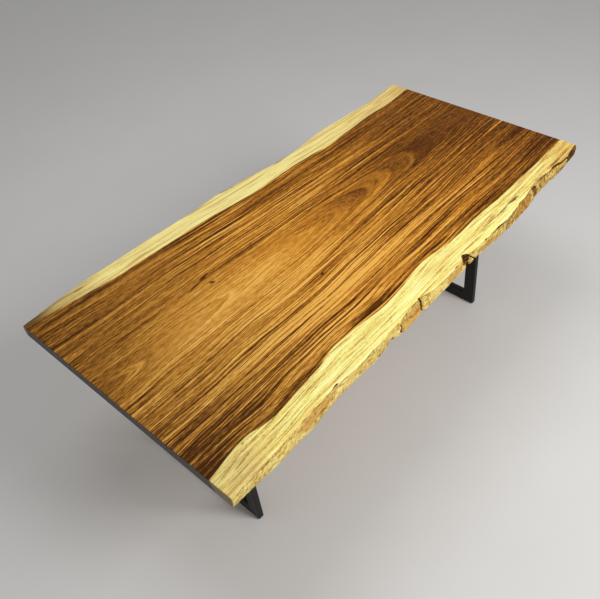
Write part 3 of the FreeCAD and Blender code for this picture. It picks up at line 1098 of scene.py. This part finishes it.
@dataclass(frozen=True)
class Growth:
    """How the trunk grew: where its heart ran under the slab and where heartwood meets sapwood."""

    heart_y: float = 0.047
    heart_square: tuple[float, float, float] = (0.0064, 0.0079, 0.003)
    front_span: float = 0.455
    rear_span: float = 0.375
    wave_reach: float = 0.13
    wave_fade: float = 0.06
    wave_share: float = 0.55
    wave_loss: float = 0.7
    front_taper: Knots = ((-1.0, -0.436), (0.0, -0.405), (1.0, -0.402))
    rear_taper: Knots = ((-1.0, 0.460), (-0.5, 0.440), (0.0, 0.405), (0.5, 0.386), (1.0, 0.378))
    front_border: Knots = (
        (-1.000, -0.445), (-0.853, -0.421), (-0.718, -0.438), (-0.608, -0.427), (-0.509, -0.417),
        (-0.436, -0.401), (-0.318, -0.403), (-0.172, -0.414), (-0.072, -0.406), (0.071, -0.388),
        (0.217, -0.405), (0.385, -0.402), (0.548, -0.408), (0.737, -0.406), (1.000, -0.401),
    )
    rear_border: Knots = (
        (-1.000, 0.502), (-0.900, 0.489), (-0.750, 0.467), (-0.600, 0.450), (-0.450, 0.441), (-0.259, 0.430),
        (0.046, 0.395), (0.279, 0.388), (0.447, 0.369), (0.580, 0.372), (0.697, 0.375), (0.848, 0.366),
        (1.000, 0.373),
    )

    def heart_depth(self, x: np.ndarray) -> np.ndarray:
        """Depth of the heart under the top: its square grows by a parabola along the slab.

        Args:
            x: places along.

        Returns:
            The depth at each place.
        """
        start, slope, bend = self.heart_square
        run = x + 1.0
        return np.sqrt(start + slope * run + bend * run * run)

    def from_heart(self, x: np.ndarray, y: np.ndarray, taper: Knots, border: Knots,
                   span: float) -> np.ndarray:
        """Distance from the heart line on one side of it.

        It is stretched so that the taper is one span away all along. Beside the border it takes most of the
        wave of the border about the taper, which is eased out towards the heart and the live edge.

        Args:
            x: places along.
            y: places across.
            taper: line that the heartwood tapers by.
            border: where heartwood meets sapwood.
            span: distance of the taper.

        Returns:
            The distance, with the sign of Y.
        """
        line = smooth_line(taper, x)
        inward = (y - line) * np.sign(self.heart_y - line)
        lost = self.wave_loss * eased(-inward / self.wave_fade)
        follow = eased(1.0 - inward / self.wave_reach) * (1.0 - lost)
        wave = (smooth_line(border, x) - line) * follow * self.wave_share
        return (y - wave - self.heart_y) / np.abs(line - self.heart_y) * span

    def coordinates(self, points: np.ndarray, top: float) -> np.ndarray:
        """Coordinates that follow the grain.

        Args:
            points: vertices of the slab.
            top: height of the slab's top.

        Returns:
            For each vertex, how far it is across from the heart line, along the slab, and above the heart.
        """
        x, y, z = points.T
        front = self.from_heart(x, y, self.front_taper, self.front_border, self.front_span)
        rear = self.from_heart(x, y, self.rear_taper, self.rear_border, self.rear_span)
        across = np.where(y < self.heart_y, front, rear)
        return np.column_stack([across, x, self.heart_depth(x) - (top - z)])

    def sapwood_reach(self, points: np.ndarray, top: float, lean: float) -> np.ndarray:
        """Distance into the sapwood from its border, which leans out towards the underside.

        Args:
            points: vertices of the slab.
            top: height of the slab's top.
            lean: how far the border leans out per metre of depth.

        Returns:
            The distance for each vertex, below 0 in the heartwood.
        """
        x, y, z = points.T
        shift = (top - z) * lean
        front = smooth_line(self.front_border, x) - shift - y
        rear = y - smooth_line(self.rear_border, x) - shift
        return np.maximum(front, rear)


GROWTH = Growth()


@dataclass(frozen=True)
class RimMark:
    """A marked place on a live edge; share and half_share are parts of the edge's height."""

    x: float
    share: float
    half_length: float
    half_share: float
    hollow: float
    strength: float = 1.0
    unevenness: float = 0.30

    def mask(self, x: np.ndarray, share: np.ndarray, waver: np.ndarray, softness: float) -> np.ndarray:
        """Box with rounded corners, by the fourth root of fourth powers, and a wavering rim.

        Args:
            x: places along, as a column.
            share: share of the height from the top, as a row.
            waver: random heights from -1 to 1, which move the rim.
            softness: half width of the rim, in half sizes of the box.

        Returns:
            1 inside, 0 outside.
        """
        along = np.abs(x - self.x) / self.half_length
        across = np.abs(share - self.share) / self.half_share
        reach = (along ** 4 + across ** 4) ** 0.25 + waver * self.unevenness
        return eased((1.0 + softness - reach) / (2 * softness))


@dataclass(frozen=True)
class Crack:
    """A crack down a live edge: where it starts and ends along, from which share of the height."""

    top_x: float
    bottom_x: float
    start_share: float
    half_width: float
    hollow: float
    wander: float = 0.003
    run_in: float = 0.06

    def mask(self, x: np.ndarray, share: np.ndarray, waver: np.ndarray) -> np.ndarray:
        """Wandering straight line, eased to 0 at its half width and above its start.

        Args:
            x: places along, as a column.
            share: share of the height from the top, as a row.
            waver: random heights from -1 to 1, which move the line.

        Returns:
            1 on the line, 0 off it.
        """
        line = self.top_x + (self.bottom_x - self.top_x) * share + waver * self.wander
        near = eased(1.0 - np.abs(x - line) / self.half_width)
        return near * eased((share - self.start_share) / self.run_in + 1.0)


@dataclass(frozen=True)
class LiveEdge:
    """One natural edge: its reach from the middle line at the top and underside, and its marks."""

    side: Side
    top: Knots
    bottom: Knots
    seed: int
    bark: tuple[RimMark, ...]
    scars: tuple[RimMark, ...]
    cracks: tuple[Crack, ...]
    belly: float = 0.004
    ease: float = 0.003
    widest: float = 0.5375
    lump: float = 0.0020
    ridge: float = 0.0012
    grain: float = 0.0006
    bark_softness: float = 0.45
    scar_softness: float = 0.40
    rim_start: float = 0.0035
    rim_waver: float = 0.0030
    rim_fade: float = 0.004

    def wall(self, x: np.ndarray, share: np.ndarray, thickness: float) -> tuple[np.ndarray, np.ndarray]:
        """Reach of the edge and its marks.

        The reach goes from the top line to the underside line, bellied by a half sine between them.
        Lumps, ridges and grit of three sizes roughen it, marks and cracks hollow it, and the arrises
        are rounded by a quarter circle.

        Args:
            x: places along, as a column.
            share: share of the height from the top, as a row.
            thickness: thickness of the slab.

        Returns:
            The reach, and for each point its rim, bark and scar values.
        """
        fall = share * thickness
        lumps = rough_field(x / 0.11, share * 1.3, self.seed)
        ridges = rough_field((x + fall) / 0.011, (x - fall) / 0.045, self.seed + 1)
        grit = rough_field(x / 0.010, share * 10.0, self.seed + 2)
        waver = rough_field(x / 0.016, share * 6.0, self.seed + 3)
        middle = np.sin(np.pi * share)
        reach = smooth_line(self.top, x) * (1 - share) + smooth_line(self.bottom, x) * share
        reach = reach + middle * self.belly
        rough = self.lump * lumps + self.ridge * ridges + self.grain * grit
        reach = reach + rough * (0.35 + 0.65 * middle)
        bark, scar = np.zeros_like(reach), np.zeros_like(reach)
        layers = ((self.bark, self.bark_softness, bark), (self.scars, self.scar_softness, scar))
        for places, softness, strongest in layers:
            for mark in places:
                mask = mark.mask(x, share, waver, softness)
                reach = reach - mask * mark.hollow
                np.maximum(strongest, mask * mark.strength, out=strongest)
        for crack in self.cracks:
            mask = crack.mask(x, share, waver)
            reach = reach - mask * crack.hollow
            np.maximum(bark, mask, out=bark)
        level = np.zeros(1)
        radius = self.ease * (1.0 + 0.5 * rough_field(x / 0.07, level, self.seed + 4))
        for distance in (fall, (1 - share) * thickness):
            short = np.clip(radius - distance, 0.0, None)
            reach = reach - (radius - np.sqrt(radius * radius - short * short))
        start = self.rim_start + self.rim_waver * rough_field(x / 0.05, level, self.seed + 5)
        rim = eased((fall - start) / self.rim_fade) * (share < 1.0)
        marks = np.stack([rim, bark * (share < 1.0), scar * rim], axis=-1)
        return np.minimum(reach, self.widest), marks


FRONT_EDGE = LiveEdge(
    side=Side.FRONT,
    top=(
        (-1.000, 0.534), (-0.840, 0.522), (-0.688, 0.511), (-0.527, 0.500), (-0.439, 0.507), (-0.345, 0.502),
        (-0.267, 0.497), (-0.186, 0.492), (-0.090, 0.483), (-0.017, 0.492), (0.164, 0.493), (0.308, 0.494),
        (0.484, 0.490), (0.623, 0.472), (0.790, 0.468), (0.884, 0.482), (1.000, 0.472),
    ),
    bottom=(
        (-1.000, 0.530), (-0.911, 0.531), (-0.826, 0.534), (-0.738, 0.529), (-0.663, 0.529), (-0.566, 0.516),
        (-0.451, 0.512), (-0.322, 0.513), (-0.255, 0.502), (-0.199, 0.512), (-0.089, 0.504), (-0.029, 0.503),
        (0.039, 0.502), (0.163, 0.498), (0.260, 0.496), (0.404, 0.502), (0.593, 0.496), (0.701, 0.482),
        (0.863, 0.480), (1.000, 0.471),
    ),
    seed=101,
    bark=(
        RimMark(0.668, 0.52, 0.020, 0.44, 0.003, 0.54), RimMark(0.391, 0.10, 0.030, 0.05, 0.002, 0.8),
        RimMark(0.745, 0.10, 0.050, 0.040, 0.002, 0.8), RimMark(0.842, 0.07, 0.038, 0.07, 0.004, 1.0),
        RimMark(0.925, 0.07, 0.060, 0.05, 0.003, 0.9), RimMark(0.955, 0.46, 0.050, 0.48, 0.003, 0.70),
        RimMark(0.700, 0.50, 0.340, 0.60, 0.000, 0.22), RimMark(0.180, 0.30, 0.017, 0.36, 0.006, 0.9),
        RimMark(-0.251, 0.90, 0.008, 0.10, 0.005, 0.9), RimMark(0.302, 0.09, 0.008, 0.05, 0.002, 0.8),
        RimMark(0.118, 0.10, 0.010, 0.05, 0.002, 0.7), RimMark(0.130, 0.55, 0.045, 0.40, 0.001, 0.30),
        RimMark(0.571, 0.28, 0.012, 0.06, 0.002, 0.7), RimMark(-0.754, 0.26, 0.014, 0.05, 0.002, 0.55),
        RimMark(-0.893, 0.42, 0.014, 0.06, 0.002, 0.55), RimMark(-0.424, 0.70, 0.018, 0.07, 0.002, 0.45),
        RimMark(-0.575, 0.50, 0.020, 0.30, 0.002, 0.34), RimMark(-0.535, 0.10, 0.016, 0.05, 0.002, 0.7),
        RimMark(-0.310, 0.88, 0.050, 0.12, 0.002, 0.40), RimMark(-0.150, 0.11, 0.056, 0.03, 0.002, 0.6),
    ),
    scars=(
        RimMark(-0.150, 0.58, 0.058, 0.46, 0.0035), RimMark(-0.630, 0.40, 0.080, 0.36, 0.0012),
        RimMark(-0.300, 0.60, 0.050, 0.30, 0.0010, 0.5), RimMark(0.560, 0.55, 0.070, 0.38, 0.0014, 0.8),
        RimMark(0.110, 0.62, 0.050, 0.34, 0.0010, 0.7), RimMark(0.300, 0.60, 0.050, 0.30, 0.0010, 0.6),
    ),
    cracks=(
        Crack(-0.081, -0.087, 0.06, 0.0085, 0.009), Crack(-0.203, -0.207, 0.34, 0.0066, 0.007),
        Crack(0.178, 0.190, 0.00, 0.0180, 0.008), Crack(0.190, 0.236, 0.05, 0.0075, 0.005),
    ),
)

REAR_EDGE = LiveEdge(
    side=Side.REAR,
    top=(
        (-1.000, 0.519), (-0.745, 0.534), (-0.536, 0.528), (-0.278, 0.515), (-0.206, 0.511), (-0.125, 0.515),
        (0.002, 0.501), (0.135, 0.484), (0.197, 0.470), (0.338, 0.463), (0.484, 0.473), (0.685, 0.459),
        (0.830, 0.446), (1.000, 0.458),
    ),
    bottom=(
        (-1.000, 0.526), (-0.690, 0.534), (-0.440, 0.529), (-0.200, 0.520), (-0.020, 0.510), (0.160, 0.490),
        (0.310, 0.479), (0.480, 0.482), (0.620, 0.475), (0.790, 0.464), (0.890, 0.460), (1.000, 0.466),
    ),
    seed=211,
    bark=(
        RimMark(0.060, 0.12, 0.050, 0.06, 0.002, 0.8), RimMark(0.205, 0.13, 0.040, 0.07, 0.002, 0.8),
        RimMark(0.945, 0.45, 0.055, 0.45, 0.003, 0.60), RimMark(-0.420, 0.58, 0.024, 0.36, 0.004, 0.60),
        RimMark(-0.770, 0.35, 0.014, 0.06, 0.002, 0.6), RimMark(0.520, 0.50, 0.028, 0.40, 0.004, 0.62),
        RimMark(-0.105, 0.78, 0.014, 0.08, 0.003, 0.7), RimMark(0.640, 0.50, 0.340, 0.60, 0.000, 0.22),
        RimMark(-0.700, 0.10, 0.060, 0.05, 0.002, 0.7),
    ),
    scars=(
        RimMark(-0.600, 0.52, 0.080, 0.36, 0.0014), RimMark(0.380, 0.56, 0.070, 0.38, 0.0016),
        RimMark(0.760, 0.50, 0.060, 0.34, 0.0012), RimMark(-0.200, 0.48, 0.050, 0.34, 0.0012),
    ),
    cracks=(Crack(0.442, 0.452, 0.20, 0.0036, 0.006), Crack(-0.330, -0.338, 0.45, 0.0030, 0.005)),
)


@dataclass
class LiveEdgeSlab:
    """The slab: flat faces between two natural edges, with sawn ends."""

    length: float = 2.0
    thickness: float = 0.05
    top: float = 0.745
    end_ease: float = 0.002
    stations: int = 990
    columns: int = 27
    rows: int = 21
    border_lean: float = 0.25
    front: LiveEdge = FRONT_EDGE
    rear: LiveEdge = REAR_EDGE

    def station_places(self) -> tuple[np.ndarray, np.ndarray]:
        """Places along, and how far the outline draws in at each.

        The outline draws in by a quarter circle at both ends, which eases their arrises.

        Returns:
            Places and insets, as columns.
        """
        half = self.length / 2
        turn = np.linspace(0.0, np.pi / 2, 4)[:-1]
        end = half - self.end_ease * (1 - np.cos(turn))
        draw = self.end_ease * (1 - np.sin(turn))
        run = np.linspace(self.end_ease - half, half - self.end_ease, self.stations)
        places = np.concatenate([-end, run, end[::-1]])
        insets = np.concatenate([draw, np.zeros(self.stations), draw[::-1]])
        return places[:, None], insets[:, None]

    def surface(self) -> tuple[np.ndarray, np.ndarray]:
        """Points of the skin and their marks, on a grid of stations and places round the section.

        Round a section come the rear edge from the underside up, the top from rear to front, the
        front edge downwards and the underside from front to rear. Rows and columns are spaced by a
        cosine, close together at the arrises.

        Returns:
            Points and marks, each with stations first and places round the section second.
        """
        x, inset = self.station_places()
        share = ((1 - np.cos(np.linspace(0.0, np.pi, self.rows))) / 2)[None, :]
        across = ((1 - np.cos(np.linspace(0.0, np.pi, self.columns))) / 2)[None, 1:-1]
        height = self.top - inset - share * (self.thickness - 2 * inset)
        walls = {}
        for edge in (self.rear, self.front):
            reach, marks = edge.wall(x, share, self.thickness)
            across_edge = edge.side.value * (reach - inset)
            points = np.stack(np.broadcast_arrays(x, across_edge, height), axis=-1)
            walls[edge.side] = points, marks
        rear, rear_marks = walls[Side.REAR]
        front, front_marks = walls[Side.FRONT]
        blend = across[..., None]
        top = rear[:, :1] * (1 - blend) + front[:, :1] * blend
        under = front[:, -1:] * (1 - blend) + rear[:, -1:] * blend
        bare = np.zeros_like(top)
        skin = np.concatenate([rear[:, ::-1], top, front, under], axis=1)
        marks = np.concatenate([rear_marks[:, ::-1], bare, front_marks, bare], axis=1)
        return skin, marks

    def end_grid(self, loop: np.ndarray) -> np.ndarray:
        """Vertex numbers round one end's section, laid out as rows and columns.

        Args:
            loop: the numbers, in order round the section.

        Returns:
            The grid, with -1 inside.
        """
        rows, columns = self.rows, self.columns
        inner = columns - 2
        grid = np.full((rows, columns), -1)
        grid[:, 0] = loop[:rows][::-1]
        grid[0, 1:-1] = loop[rows:rows + inner]
        grid[:, -1] = loop[rows + inner:2 * rows + inner]
        grid[-1, 1:-1] = loop[2 * rows + inner:][::-1]
        return grid

    def end_points(self, rim: np.ndarray) -> np.ndarray:
        """Points inside one end face, from its rim.

        Each point blends the four sides: top and underside by its row, rear and front by its column,
        less the blend of the four corners.

        Args:
            rim: points of the rim on the end's grid.

        Returns:
            Points inside, row by row.
        """
        v = np.linspace(0.0, 1.0, self.rows)[:, None, None]
        u = np.linspace(0.0, 1.0, self.columns)[None, :, None]
        upright = rim[:1] * (1 - v) + rim[-1:] * v
        level = rim[:, :1] * (1 - u) + rim[:, -1:] * u
        corners = (rim[:1, :1] * (1 - u) + rim[:1, -1:] * u) * (1 - v)
        corners = corners + (rim[-1:, :1] * (1 - u) + rim[-1:, -1:] * u) * v
        return (upright + level - corners)[1:-1, 1:-1].reshape(-1, 3)

    def build(self) -> bpy.types.Object:
        """Closed mesh of the skin and the two end faces.

        Returns:
            The new object, with its growth, sapwood and rim attributes.
        """
        skin, marks = self.surface()
        count, around = skin.shape[:2]
        wrapped = closed_rings(count, around)
        faces = [grid_faces(wrapped)]
        points, all_marks = skin.reshape(-1, 3), marks.reshape(-1, 3)
        for station, flipped in ((0, True), (count - 1, False)):
            grid = self.end_grid(wrapped[station, :-1])
            inside = self.end_points(points[np.where(grid < 0, 0, grid)])
            grid[grid < 0] = len(points) + np.arange(len(inside))
            points = np.concatenate([points, inside])
            all_marks = np.concatenate([all_marks, np.zeros_like(inside)])
            cells = grid_faces(grid)
            faces.append(cells[:, ::-1] if flipped else cells)
        slab = add_mesh("live_edge_slab_wood", points, np.concatenate(faces))
        add_attribute(slab.data, "growth", GROWTH.coordinates(points, self.top))
        add_attribute(slab.data, "sapwood", GROWTH.sapwood_reach(points, self.top, self.border_lean))
        add_attribute(slab.data, "rim", all_marks)
        self.shade(slab.data, len(faces[0]), around)
        return slab

    def shade(self, mesh: bpy.types.Mesh, skin_faces: int, around: int) -> None:
        """Smooths the live edges only, and gives the sawn ends their own material slot.

        Args:
            mesh: the slab's mesh.
            skin_faces: number of faces before those of the ends.
            around: faces round one section.
        """
        place = np.arange(len(mesh.polygons)) % around
        rows, inner = self.rows, self.columns - 2
        on_rear = place < rows - 1
        on_front = (place >= rows + inner) & (place < 2 * rows + inner - 1)
        on_skin = np.arange(len(mesh.polygons)) < skin_faces
        mesh.polygons.foreach_set("use_smooth", (on_rear | on_front) & on_skin)
        mesh.polygons.foreach_set("material_index", np.where(on_skin, 0, 1).astype(np.int32))

    def make(self) -> None:
        """Builds, dresses and seats the slab."""
        slab = self.build()
        slab.data.materials.append(SlabWood().dress())
        slab.data.materials.append(EndGrainAndPaintedShade().dress())
        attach(slab, Body.TABLE.value)
        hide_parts("live_edge_slab")
        LOG.info("%s: %d faces", slab.name, len(slab.data.polygons))


@dataclass
class FrameWelds:
    """Welds of one leg frame: stitches between its top rail and plate, and a bead in each inner corner."""

    end: End
    material: bpy.types.Material
    radius: float = 0.0030
    inset: float = 0.0010
    drop: float = 0.0016
    stitch: float = 0.042
    places: tuple[float, ...] = (-0.165, -0.055, 0.055, 0.165)
    ripple: float = 0.0021
    slim: float = 0.88
    swell: float = 0.16
    tip: float = 0.99
    rows: int = 73
    around: int = 14

    def box(self, part: str) -> tuple[np.ndarray, np.ndarray]:
        """Lowest and highest corners of a tube of this frame."""
        low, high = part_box(f"{self.end.value}_frame_{part}")
        return np.array(low), np.array(high)

    def beads(self, middles: np.ndarray, length: float, axes: tuple[int, int, int]) -> np.ndarray:
        """Rings of rippled beads with rounded ends.

        The radius rises and falls by the size of a sine once per ripple, and falls to the ends by the
        root of 1 - t ** 8, where t goes from -1 to 1 along the bead.

        Args:
            middles: middle of each bead.
            length: length of the beads.
            axes: two axes across the bead and the one along it, in a right-handed order.

        Returns:
            The rings, bead by bead.
        """
        t = np.linspace(-self.tip, self.tip, self.rows)[:, None]
        angle = np.linspace(0.0, 2 * np.pi, self.around, endpoint=False)[None, :]
        waves = np.abs(np.sin(t * (np.pi * length / 2 / self.ripple)))
        radius = self.radius * np.sqrt(1 - t ** 8) * (self.slim + self.swell * waves)
        first, second, along = np.eye(3)[list(axes)]
        rings = (radius * np.cos(angle))[..., None] * first
        rings = rings + (radius * np.sin(angle))[..., None] * second
        rings = rings + (t * length / 2)[..., None] * along
        return middles[:, None, None, :] + rings[None]

    def build(self) -> bpy.types.Object:
        """All beads of the frame, as one piece.

        Returns:
            The new object.
        """
        low, high = self.box("top_rail")
        sides = [low[0] + self.inset, high[0] - self.inset]
        x, y = np.meshgrid(sides, self.places, indexing="ij")
        stitches = np.stack([x, y, np.full_like(x, high[2] - self.drop)], axis=-1).reshape(-1, 3)
        inner_y = [self.box("front_upright")[1][1], self.box("rear_upright")[0][1]]
        y, z = np.meshgrid(inner_y, [self.box("bottom_rail")[1][2], low[2]], indexing="ij")
        corners = np.stack([np.full_like(y, (low[0] + high[0]) / 2), y, z], axis=-1).reshape(-1, 3)
        points, quads = capped_tubes(self.beads(stitches, self.stitch, (2, 0, 1)))
        width = high[0] - low[0] - 2 * self.radius
        more_points, more_quads = capped_tubes(self.beads(corners, width, (1, 2, 0)))
        quads = np.concatenate([quads, more_quads + len(points)])
        return add_mesh(f"{self.end.value}_frame_welds", np.concatenate([points, more_points]), quads)

    def make(self) -> None:
        """Builds, dresses and seats the welds."""
        welds = self.build()
        welds.data.polygons.foreach_set("use_smooth", np.ones(len(welds.data.polygons), dtype=bool))
        welds.data.materials.append(self.material)
        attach(welds, Body.TABLE.value)
        LOG.info("%s: %d faces", welds.name, len(welds.data.polygons))


@dataclass
class ThreadedStem:
    """Threaded stem of one levelling glide, inside the space of its plain CAD node."""

    body: Body
    material: bpy.types.Material
    pitch: float = 0.00125
    depth: float = 0.0006
    chamfer: float = 0.0008
    around: int = 32
    rows: int = 206

    def build(self) -> bpy.types.Object:
        """Closed surface with a helical thread.

        The radius is the node's, less the depth times a triangle wave that turns once per pitch, and
        less a chamfer of 45 degrees at both ends.

        Returns:
            The new object.
        """
        low, high = (np.array(corner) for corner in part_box(f"{self.body.value}_stem"))
        middle = (low + high) / 2
        z = np.linspace(low[2], high[2], self.rows)[:, None]
        angle = np.linspace(0.0, 2 * np.pi, self.around, endpoint=False)[None, :]
        turn = z / self.pitch - angle / (2 * np.pi)
        groove = np.abs(2 * (turn - np.floor(turn)) - 1)
        bevel = np.clip(self.chamfer - np.minimum(z - low[2], high[2] - z), 0.0, None)
        radius = (high[0] - low[0]) / 2 - np.maximum(groove * self.depth, bevel)
        x, y = middle[0] + radius * np.cos(angle), middle[1] + radius * np.sin(angle)
        rings = np.stack(np.broadcast_arrays(x, y, z), axis=-1)[None]
        return add_mesh(f"{self.body.value}_thread", *capped_tubes(rings))

    def make(self) -> None:
        """Builds, dresses and seats the stem."""
        stem = self.build()
        stem.data.materials.append(self.material)
        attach(stem, self.body.value)
        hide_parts(f"{self.body.value}_stem")
        LOG.info("%s: %d faces", stem.name, len(stem.data.polygons))


@dataclass
class CarriedNodes:
    """CAD nodes that keep their shape and get a finish, picked by the ends of their names."""

    endings: tuple[str, ...]
    material: bpy.types.Material

    def make(self) -> None:
        """Dresses every node whose name ends so."""
        for name, node in sorted(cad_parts.items()):
            if name.endswith(self.endings):
                node.data.materials.clear()
                node.data.materials.append(self.material)
                LOG.info("%s: %s", name, self.material.name)


@dataclass(frozen=True)
class PhotoCamera:
    """Camera where the photograph was taken from."""

    place: tuple[float, float, float] = (-1.50498, -1.48740, 2.47522)
    heading: float = 0.841958525
    dip: float = 0.774313888
    roll: float = -0.142029577
    lens: float = 43.797
    sensor: float = 36.0

    def make(self) -> None:
        """Adds the camera and makes it the scene's own."""
        look = Vector((math.cos(self.dip) * math.cos(self.heading),
                       math.cos(self.dip) * math.sin(self.heading), -math.sin(self.dip)))
        level = look.cross(Vector((0.0, 0.0, 1.0))).normalized()
        upright = level.cross(look)
        right = level * math.cos(self.roll) + upright * math.sin(self.roll)
        up = upright * math.cos(self.roll) - level * math.sin(self.roll)
        data = bpy.data.cameras.new("photo_camera")
        data.lens = self.lens
        data.sensor_width = self.sensor
        camera = bpy.data.objects.new("photo_camera", data)
        turn = Matrix((right, up, -look)).transposed().to_4x4()
        camera.matrix_world = Matrix.Translation(self.place) @ turn
        bpy.context.scene.collection.objects.link(camera)
        bpy.context.scene.camera = camera
        LOG.info("camera at %s", self.place)


@dataclass(frozen=True)
class SoftLamp:
    """A square studio lamp: its place, what it points at, its side and its power."""

    name: str
    place: tuple[float, float, float]
    target: tuple[float, float, float]
    side: float
    power: float

    def make(self) -> None:
        """Adds the lamp."""
        data = bpy.data.lights.new(self.name, "AREA")
        data.size = self.side
        data.energy = self.power
        lamp = bpy.data.objects.new(self.name, data)
        aim = Vector(self.target) - Vector(self.place)
        turn = aim.to_track_quat("-Z", "Y").to_matrix().to_4x4()
        lamp.matrix_world = Matrix.Translation(self.place) @ turn
        bpy.context.scene.collection.objects.link(lamp)
        LOG.info("lamp %s", self.name)


@dataclass
class Studio:
    """Plain pale floor, soft lamps and an even surround."""

    radius: float = 40.0
    steps: int = 41
    pale: Colour = display_colour(220, 219, 217)
    shade: Colour = display_colour(212, 211, 209)
    surround: float = 0.32
    backdrop: Colour = display_colour(214, 213, 211)
    lamps: tuple[SoftLamp, ...] = (
        SoftLamp("front_lamp", (0.6, -3.3, 3.2), (0.0, 0.0, 0.7), 1.8, 122.0),
        SoftLamp("overhead_lamp", (-0.1, 0.7, 4.2), (0.0, 0.2, 0.7), 2.0, 36.0),
    )

    def floor(self) -> bpy.types.Object:
        """Flat disc at height 0: a square grid whose sides are rounded off.

        Returns:
            The new object.
        """
        line = np.linspace(-1.0, 1.0, self.steps)
        x, y = np.meshgrid(line, line, indexing="ij")
        round_x, round_y = x * np.sqrt(1 - y * y / 2), y * np.sqrt(1 - x * x / 2)
        points = np.stack([round_x, round_y, np.zeros_like(x)], axis=-1).reshape(-1, 3) * self.radius
        numbers = np.arange(len(points)).reshape(self.steps, self.steps)
        return add_mesh("studio_floor", points, grid_faces(numbers.T))

    def floor_finish(self) -> bpy.types.Material:
        """Matt pale floor with a faint cloud.

        Returns:
            The finished material.
        """
        bench = Bench(bpy.data.materials.new("studio_floor"))
        x, y, z = bench.place()
        cloud = bench.noise((x / 0.5, y / 0.5, z), 4.0)
        return bench.surface({
            "Base Color": bench.mix(cloud + 0.5, self.shade, self.pale),
            "Roughness": cloud * 0.2 + 0.65,
        })

    def surround_light(self) -> None:
        """Even light from all round, which the camera, gloss and glass see as a pale backdrop."""
        bench = Bench(bpy.data.worlds.new("studio_surround"))
        lit = bench.node("ShaderNodeBackground", None, {"Color": WHITE, "Strength": self.surround})
        seen = bench.node("ShaderNodeBackground", None, {"Color": self.backdrop})
        ray = bench.node("ShaderNodeLightPath", out="Is Camera Ray")
        shown = ray.greater(ray.sibling("Is Glossy Ray")).greater(ray.sibling("Is Transmission Ray"))
        pick = bench.node("ShaderNodeMixShader", None, {"Fac": shown, 1: lit, 2: seen})
        bpy.context.scene.world = bench.end("ShaderNodeOutputWorld", pick)

    def make(self) -> None:
        """Adds the floor, the lamps and the surround."""
        floor = self.floor()
        floor.data.materials.append(self.floor_finish())
        for lamp in self.lamps:
            lamp.make()
        self.surround_light()
        bpy.context.scene.view_settings.view_transform = "Standard"


def main() -> None:
    """Builds every part of the scene in order."""
    logging.basicConfig(level=logging.INFO, format="%(message)s")
    coat = PowderCoat().dress()
    zinc = ZINC.dress()
    parts = [
        PhotoCamera(),
        Studio(),
        LiveEdgeSlab(),
        CarriedNodes(("_rail", "_upright", "_mounting_plate"), coat),
        CarriedNodes(("_plate_bolts", "_plate_washers", "_glide_nuts", "_glide_stem"), zinc),
        CarriedNodes(("_slab_inserts",), BRASS.dress()),
        CarriedNodes(("_glide_pad",), MouldedPlastic().dress()),
    ]
    parts += [FrameWelds(end, coat) for end in End]
    parts += [ThreadedStem(body, zinc) for body in Body if body is not Body.TABLE]
    for part in parts:
        part.make()


if __name__ == "__main__":
    main()
